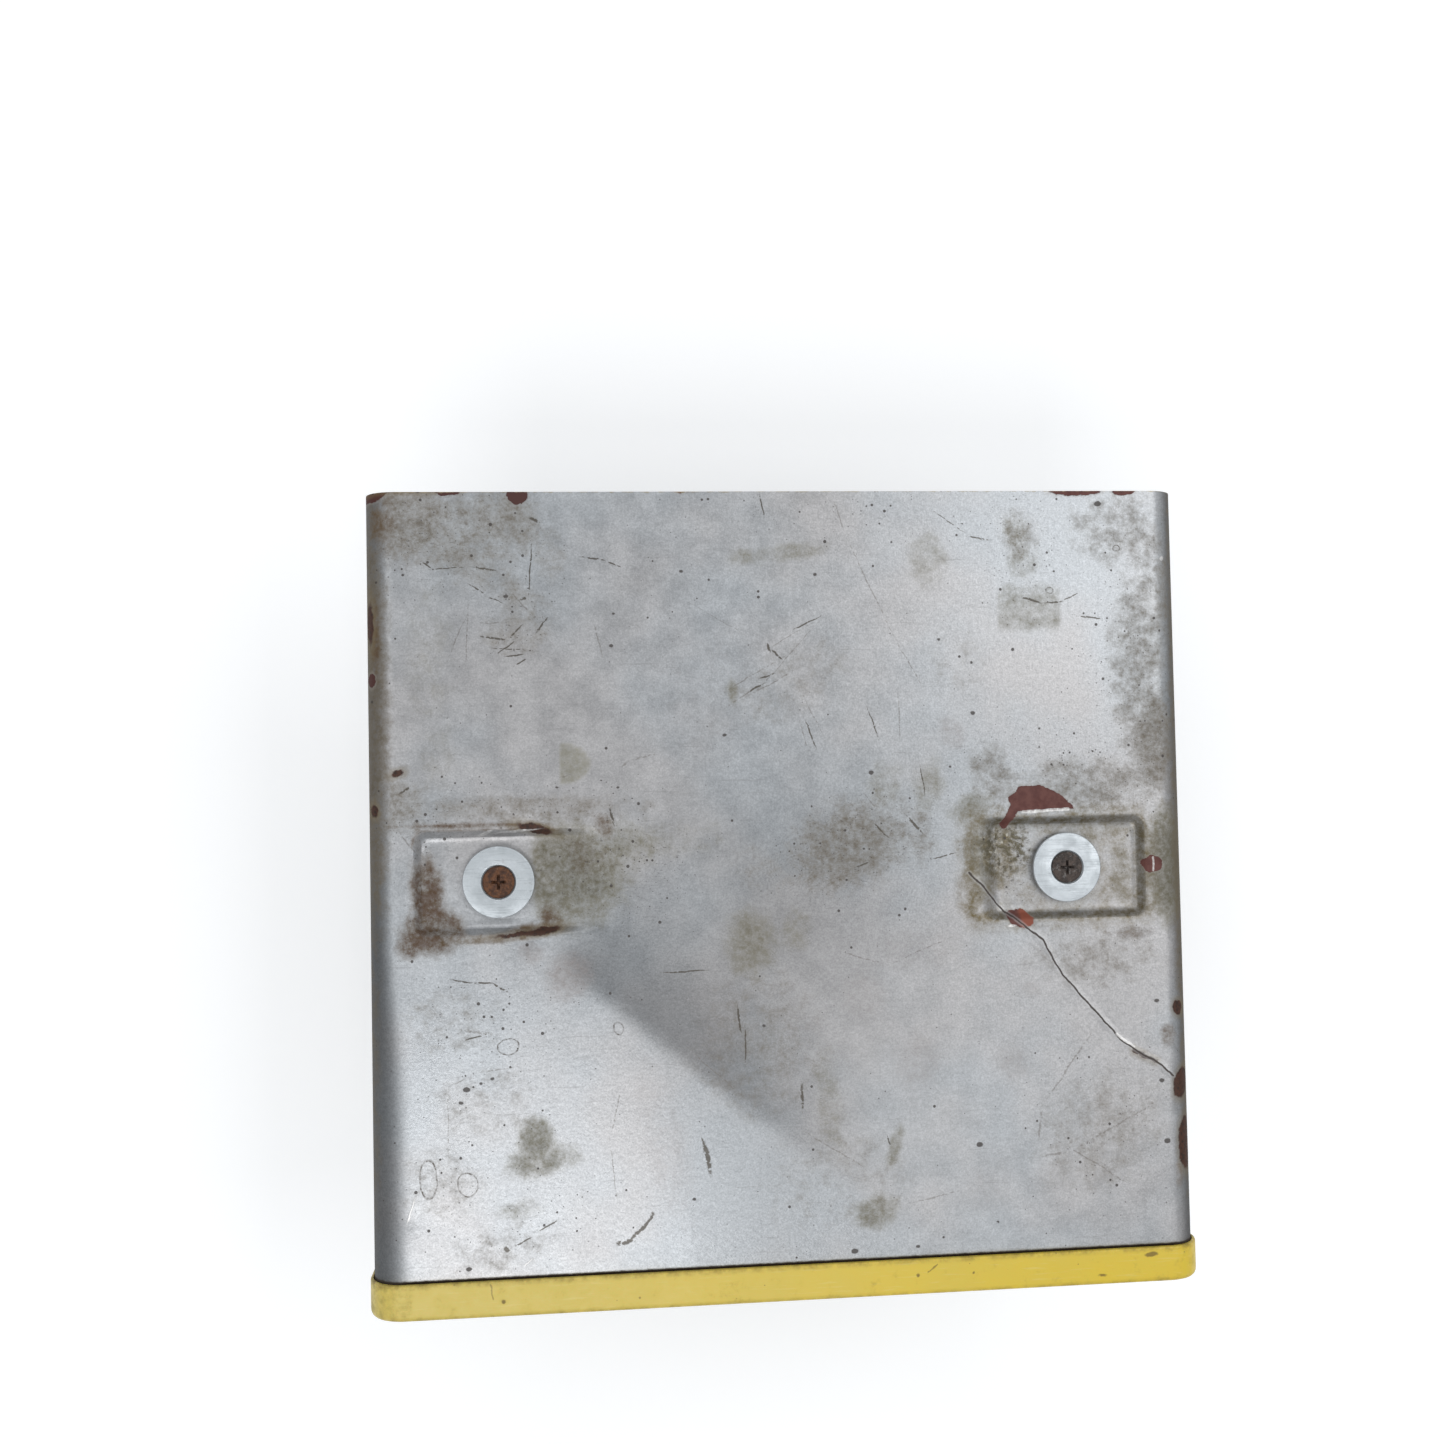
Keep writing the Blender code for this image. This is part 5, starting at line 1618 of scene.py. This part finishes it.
def make_spring_washer(node, look):
    """Split ring of square wire with softened edges and slanted ends."""
    low, high = heights(node)
    cx, cy = middle(node)
    outer, inner = 5.6, 3.35
    section = fillet([(inner, low), (outer, low), (outer, high), (inner, high)], [0.2] * 4, 3)
    start, end = math.radians(9.0), math.radians(351.0)
    steps = 72
    points = []
    for i in range(steps + 1):
        for radius, z in section:
            slant = math.radians(6.0) * (z - low) / (high - low)
            turn = start + (end - start) * i / steps - slant
            points.append((cx + radius * math.cos(turn), cy + radius * math.sin(turn), z))
    count = len(section)
    faces = []
    for i in range(steps):
        for j in range(count):
            k = (j + 1) % count
            faces.append((i * count + j, i * count + k, (i + 1) * count + k, (i + 1) * count + j))
    faces.append(tuple(range(count)))
    faces.append(tuple(range(steps * count, (steps + 1) * count)))
    ring = make_piece("fine_" + node, points, faces, [look], "head", (node,))
    outward(ring.data)
    shade(ring.data, SHARP)
    return ring


def make_cap_screw(node, look):
    """Small pan-head screw under the lip, cross recess downwards."""
    low, high = heights(node)
    head = reach_of(node)
    under = -3.8
    corners = [(0.0, high), (1.1, high - 0.5), (1.1, high - 0.9)]
    thread = ribs(1.5, 0.3, under + 0.15, high - 0.9, 0.6)[::-1]
    rim = [(1.4, under), (head, under), (head, low + 0.9), (1.6, low), (0.0, low)]
    pan = fillet(rim, [0.0, 0.15, 0.7, 1.2, 0.0], 4)
    profile = corners + thread + pan
    screw = add_shape(node, turned_shape(profile, middle(node), 40), [look], "head")
    cut(screw, cross_cutter(middle(node), low, 1.5, 0.6, 0.9, facing=-1))
    return screw


def rounded_outline(half_x, half_y, radius):
    """Rounded rectangle about the origin."""
    steps = 10
    points = []
    for i, (sx, sy) in enumerate(((1, 1), (-1, 1), (-1, -1), (1, -1))):
        for k in range(steps + 1):
            turn = math.pi / 2 * (i + k / steps)
            x = sx * (half_x - radius) + radius * math.cos(turn)
            points.append((x, sy * (half_y - radius) + radius * math.sin(turn)))
    return points


RIVETS = [middle(f"flange_rivet_{n}") for n in range(1, 5)]
RIVET_HOLE = 2.8


def make_cross_bar(look):
    """Flat bar with softened edges, its screw holes and its rivet holes."""
    low, high = heights("cross_bar")
    size = (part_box("cross_bar")[1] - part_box("cross_bar")[0]) / MM
    outline = rounded_outline(size.x / 2, size.y / 2, 7.0)
    shape = prism_shape([(outline, low), (outline, high)])
    bar = add_shape("cross_bar", shape, [look], "head", bevel=0.6)
    holes = [((side * SCREW_X, 0.0), 3.5) for side in (-1, 1)] + [(place, RIVET_HOLE) for place in RIVETS]
    for place, radius in holes:
        drill(bar, place, radius, low - CUT_PAST, high + CUT_PAST)
    return bar


def make_flange(look):
    """Cast flange with a boss, bored for the stud and countersunk for the rivets."""
    low, high = heights("handle_flange")
    face = -12.4
    countersink = 4.7
    outer = reach_of("handle_flange")
    corners = [(6.3, high), (6.3, low), (11.0, low), (11.0, face), (outer, face), (outer, high)]
    profile = fillet(corners, [0.2, 0.3, 1.0, 0.9, 1.1, 0.3], 5)
    flange = add_shape("handle_flange", turned_shape(profile, sides=128), [look], "head")
    for place in RIVETS:
        sink = [
            (0.0, high + CUT_PAST),
            (RIVET_HOLE, high + CUT_PAST),
            (RIVET_HOLE, face + 1.5),
            (countersink, face),
            (countersink, face - 0.2),
            (0.0, face - 0.2),
        ]
        cut(flange, scratch_object("sink", turned_shape(sink, place, 32)))
    return flange


def make_rivet(node, look):
    """Rivet with a round head on the bar and a hammered flush head in the flange."""
    low, high = heights(node)
    head = reach_of(node)
    dome_height = 1.8
    seat = high - dome_height
    dome = []
    steps = 10
    for i in range(steps):
        turn = math.pi / 2 * i / steps
        dome.append((head * math.cos(turn), seat + dome_height * math.sin(turn)))
    shank = 2.5
    profile = [(0.0, low + 0.15), (head - 1.2, low + 0.1), (head - 0.15, low + 0.05)]
    profile += [(shank, low + 1.25), (shank, seat)] + dome + [(0.0, high)]
    return add_shape(node, turned_shape(profile, middle(node), 48), [look], "head")


def make_stud(look):
    """Coarse threaded stud that the handle runs on."""
    low, high = heights("handle_stud")
    radius = reach_of("handle_stud")
    depth = 0.95
    nodes = ("handle_stud",)
    return threaded(
        "fine_handle_stud", radius, depth, M12_PITCH, low, high, [look], "head", nodes
    )


# ---------------------------------------------------------------- handle pieces


def make_pad(look):
    """Foam pad: crowned sides, pinched where the washer bears on it, with a moulded seam."""
    low, high = heights("hand_pad")
    outer = reach_of("hand_pad")
    middle_z = (low + high) / 2
    half = (high - low) / 2
    bore = 6.7
    face = 24.0
    crown = 11.0
    profile = [(bore, low + 0.9), (10.0, low + 0.25), (17.4, low + 0.05)]
    profile += [(18.6, low + 0.25), (20.5, low + 0.02), (face, low)]
    steps = 34
    for i in range(steps + 1):
        turn = -math.pi / 2 + math.pi * i / steps
        bulge = math.copysign(abs(math.cos(turn)) ** 0.62, math.cos(turn))
        rise = math.copysign(abs(math.sin(turn)) ** 0.8, math.sin(turn))
        seam = 0.35 * math.exp(-((turn / 0.09) ** 2))
        profile.append((outer - crown + crown * bulge - seam, middle_z + half * rise))
    profile += [(face, high), (12.5, high), (11.4, high - 0.6), (11.3, -20.2), (bore, -20.3)]
    longest = 1.4
    dense = []
    for (r, z), (next_r, next_z) in zip(profile, profile[1:] + profile[:1]):
        count = max(1, int(math.dist((r, z), (next_r, next_z)) / longest))
        dense += [(r + (next_r - r) * k / count, z + (next_z - z) * k / count) for k in range(count)]
    shape = turned_shape(dense, sides=180)
    # The rim of a used pad isn't quite round.
    rim_from = 26.0
    for vert in shape.verts:
        reach = math.hypot(vert.co.x, vert.co.y) / MM
        if reach > rim_from:
            turn = math.atan2(vert.co.y, vert.co.x)
            ease = smooth_step((reach - rim_from) / 12.0)
            slump = 0.35 + 0.2 * math.sin(3 * turn + 0.7) + 0.15 * math.sin(7 * turn + 2.1)
            inwards = 1.0 - float(ease) * slump * MM / (reach * MM)
            vert.co.x *= inwards
            vert.co.y *= inwards
    pad = add_shape("hand_pad", shape, [look], "pad", sharp=60.0)
    return pad


# The grip's outline: waist radius, then what the swell and the flare add to it, in millimetres,
# and where they end as fractions of the grip's length.
GRIP_WAIST = 17.4
GRIP_SWELL = 3.8
GRIP_FLARE = 3.0
GRIP_WAIST_AT = 0.62
GRIP_FLARE_END = 0.9


def grip_radius(along):
    """Radius of the turned grip at a fraction of its length below the ferrule."""
    if along < GRIP_WAIST_AT:
        turn = 2 * math.pi * along / GRIP_WAIST_AT
        return GRIP_WAIST + GRIP_SWELL * (1 - math.cos(turn)) / 2
    flare = min((along - GRIP_WAIST_AT) / (GRIP_FLARE_END - GRIP_WAIST_AT), 1.0)
    return GRIP_WAIST + GRIP_FLARE * math.sin(math.pi / 2 * flare)


def make_grip(look):
    """Turned handle: neck for the ferrule, swelling body with cut rings, bores at both ends."""
    low, high = heights("grip")
    ferrule_low = heights("ferrule")[0]
    neck = 15.5
    shoulder = ferrule_low - 0.3
    round_off = 3.0
    length = shoulder - low - round_off
    cuts = (shoulder - 5.0, shoulder - 8.0, low + 12.0)
    cut_size = 0.55
    worn_off = 0.12
    steps = 110
    body = []
    for i in range(steps + 1):
        along = i / steps
        z = shoulder - along * length
        groove = sum(cut_size * math.exp(-(((z - at) / cut_size) ** 2)) for at in cuts)
        lathe_marks = 0.03 * math.sin(z * 5.1)
        body.append((grip_radius(along) - worn_off - groove - lathe_marks, z))
    widest = grip_radius(1.0) - worn_off
    corner = []
    for k in range(1, 9):
        turn = math.pi / 2 * k / 8
        corner.append((widest - round_off * (1 - math.cos(turn)), low + round_off * (1 - math.sin(turn))))
    profile = [(0.0, -56.0), (6.6, -56.0), (6.6, -53.8), (9.3, -53.8), (9.3, high - 0.5), (9.8, high)]
    profile += [(neck - 0.4, high), (neck, high - 0.4), (neck, shoulder), (body[0][0] - 0.5, shoulder)]
    profile += body[1:] + corner + [(2.5, low), (2.5, -118.9), (0.0, -117.9)]
    return add_shape("grip", turned_shape(profile, sides=128), [look], "handle", sharp=30.0)


def make_ferrule(look):
    """Drawn steel ring with a rolled bead and two punched dimples that key it to the wood."""
    low, high = heights("ferrule")
    outer = reach_of("ferrule")
    inner = outer - 1.2
    bead = 0.35
    corners = [
        (inner, low),
        (outer, low),
        (outer, low + 1.6),
        (outer - bead, low + 2.0),
        (outer - bead, high - 2.4),
        (outer, high - 2.0),
        (outer, high),
        (inner, high),
    ]
    profile = fillet(corners, [0.1, 0.45, 0.3, 0.3, 0.3, 0.3, 0.45, 0.1], 4)
    ferrule = add_shape("ferrule", turned_shape(profile, sides=128), [look], "handle")
    for side in (-1, 1):
        ball = bmesh.new()
        bmesh.ops.create_uvsphere(ball, u_segments=24, v_segments=16, radius=1.6 * MM)
        spot = Vector((0.0, side * (outer + 0.75), (low + high) / 2)) * MM
        bmesh.ops.translate(ball, verts=ball.verts, vec=spot)
        cut(ferrule, scratch_object("punch", ball), sharp=40.0)
    return ferrule


def make_insert(look):
    """Brass insert with a bore rib for each turn of thread."""
    low, high = heights("thread_insert")
    outer = reach_of("thread_insert")
    bore = ribs(6.85, 0.45, low + 0.6, high - 0.8, M12_PITCH)[::-1]
    profile = [(6.9, low), (outer - 0.3, low), (outer, low + 0.3)]
    profile += [(outer, high - 0.4), (outer - 0.4, high), (7.0, high)]
    return add_shape("thread_insert", turned_shape(profile + bore, sides=96), [look], "handle")


def make_pommel(look):
    """Turned steel cap with a softened rim, sunk for its screw."""
    low, high = heights("pommel_cap")
    outer = reach_of("pommel_cap")
    corners = [(2.5, high), (2.5, low + 3.2), (5.05, low + 0.7), (5.05, low), (outer, low), (outer, high)]
    profile = fillet(corners, [0.1, 0.1, 0.1, 0.25, 1.6, 0.3], 7)
    return add_shape("pommel_cap", turned_shape(profile, sides=128), [look], "handle")


def make_pommel_screw(look):
    """Countersunk wood screw with a cross recess and a tapering thread."""
    low, high = heights("pommel_screw")
    head = reach_of("pommel_screw")
    thread = []
    turns = 13
    start = low + 6.5
    pitch = (high - 1.0 - start) / turns
    for i in range(turns):
        z = start + i * pitch
        taper = min(1.0, (high - z) / 6.0)
        thread += [(1.45 * taper, z), (2.15 * taper, z + 0.4 * pitch), (1.5 * taper, z + 0.7 * pitch)]
    profile = [(0.0, low), (head - 0.4, low), (head, low + 0.25), (2.2, low + 2.5), (2.1, low + 6.0)]
    profile += thread + [(0.0, high)]
    screw = add_shape("pommel_screw", turned_shape(profile, sides=40), [look], "handle")
    cut(screw, cross_cutter((0.0, 0.0), low, 2.4, 0.95, 1.5, facing=-1))
    return screw


# ---------------------------------------------------------------- stage


def add_light(name, place, aim, size, power):
    """Soft rectangular light that looks at a point."""
    lamp = bpy.data.lights.new(name, "AREA")
    lamp.shape = "RECTANGLE"
    lamp.size, lamp.size_y = size
    lamp.energy = power
    light = bpy.data.objects.new(name, lamp)
    light.location = place
    light.rotation_euler = (Vector(aim) - Vector(place)).to_track_quat("-Z", "Y").to_euler()
    bpy.context.scene.collection.objects.link(light)
    return light


def add_camera():
    lens = bpy.data.cameras.new("photo_camera")
    lens.lens = CAMERA_LENS
    lens.sensor_width = 36.0
    camera = bpy.data.objects.new("photo_camera", lens)
    camera.location = CAMERA_AT
    camera.rotation_mode = "ZYX"
    camera.rotation_euler = [math.radians(turn) for turn in CAMERA_TURN]
    bpy.context.scene.collection.objects.link(camera)
    bpy.context.scene.camera = camera


def add_floor():
    """Plain pale floor at the height that the handle stands on; it glows faintly, lighting the pieces a
    little from below.
    """
    look = Look("pale_floor")
    cloud = look.noise(0.004, 3.0, 0.5)
    look.set(Base_Color=look.mix(cloud, (0.93, 0.93, 0.93), (0.95, 0.95, 0.95)), Roughness=0.7)
    # The floor glows faintly, so it lights the pieces from below like a lamp.
    look.set(Specular_IOR_Level=0.2, Emission_Color=(1.0, 1.0, 1.0, 1.0), Emission_Strength=0.22)
    half = 3.0
    mesh = bpy.data.meshes.new("floor")
    level = cad_low.z
    corners = [(-half, -half, level), (half, -half, level), (half, half, level), (-half, half, level)]
    mesh.from_pydata(corners, [], [(0, 1, 2, 3)])
    mesh.materials.append(look.material)
    floor = bpy.data.objects.new("floor", mesh)
    bpy.context.scene.collection.objects.link(floor)


# Softboxes, in metres and watts. They leave the ceiling dark above the camera, as a person
# who leans over the board does.
SOFTBOXES = [
    ("softbox_right", (0.98, 0.32, 1.4), (1.0, 1.3), 9.0),
    ("softbox_front", (-0.32, -0.88, 1.4), (1.0, 0.9), 9.0),
    ("softbox_left", (-1.15, 0.30, 1.4), (0.9, 1.2), 4.5),
    ("softbox_back", (0.0, 1.25, 1.4), (1.5, 0.8), 6.0),
]


def add_stage():
    """Camera, floor, dim room light and soft lamps."""
    add_camera()
    add_floor()
    world = bpy.data.worlds.new("room")
    world.use_nodes = True
    world.node_tree.nodes["Background"].inputs["Color"].default_value = (0.90, 0.95, 1.0, 1.0)
    world.node_tree.nodes["Background"].inputs["Strength"].default_value = 0.42
    bpy.context.scene.world = world
    bpy.context.scene.view_settings.view_transform = "Standard"
    for name, place, size, power in SOFTBOXES:
        add_light(name, place, (place[0], place[1], 0.0), size, power)


# ---------------------------------------------------------------- everything

SIDES_OF = (("left", -1), ("right", 1))
# Rust of the two well screws: name, light, dark and clean colours, share that is clean.
SCREW_RUST = {
    "left": ("orange_rust", (0.16, 0.066, 0.028), (0.062, 0.028, 0.017), (0.26, 0.17, 0.12), 0.33),
    "right": ("grey_rust", (0.095, 0.070, 0.058), (0.045, 0.035, 0.031), (0.20, 0.185, 0.175), 0.42),
}
ZINC_BRIGHT = (0.60, 0.635, 0.66)
ZINC_DULL = (0.38, 0.41, 0.425)


def build():
    """Stage, then every piece with its material."""
    add_stage()
    make_board(paint_front(), paint_back())
    make_lip(lip_plastic())
    rusty = {label: rusted(*settings) for label, settings in SCREW_RUST.items()}
    plain_zinc = plated("bolt_zinc", (0.60, 0.61, 0.60), (0.40, 0.40, 0.38), 0.38, dirt=0.7)
    rubber = black_rubber()
    for label, side in SIDES_OF:
        washer = plated("penny_zinc_" + label, ZINC_BRIGHT, ZINC_DULL, 0.40, (side * SCREW_X, 0.0))
        make_penny("penny_washer_" + label, washer)
        make_washer("sealing_washer_" + label, 4.8, [rubber], "head")
        make_well_screw("well_screw_" + label, rusty[label])
        make_washer("bar_washer_" + label, 3.3, [plain_zinc], "head")
        make_spring_washer("spring_washer_" + label, plain_zinc)
        make_nut("hex_nut_" + label, plain_zinc)
    fixings = steel("fixing_steel", (0.42, 0.42, 0.43), 0.36, 0.40)
    make_cross_bar(bar_paint())
    make_flange(steel("cast_steel", (0.30, 0.30, 0.31), 0.48, 0.42, 30.0))
    for number in range(1, 5):
        make_cap_screw(f"cap_screw_{number}", fixings)
        make_rivet(f"flange_rivet_{number}", fixings)
    make_stud(steel("stud_steel", (0.46, 0.46, 0.46), 0.32, 0.36, 90.0))
    make_pad(dark_foam())
    washer_steel = steel("washer_steel", (0.45, 0.45, 0.46), 0.34, 0.38)
    make_washer("thrust_washer", 6.6, [washer_steel], "pad", 0.35, 128)
    make_ferrule(steel("ferrule_steel", (0.50, 0.50, 0.51), 0.30, 0.36))
    make_grip(turned_wood())
    make_insert(brass())
    make_pommel(steel("pommel_steel", (0.47, 0.47, 0.48), 0.33, 0.38, 20.0))
    make_pommel_screw(fixings)


build()
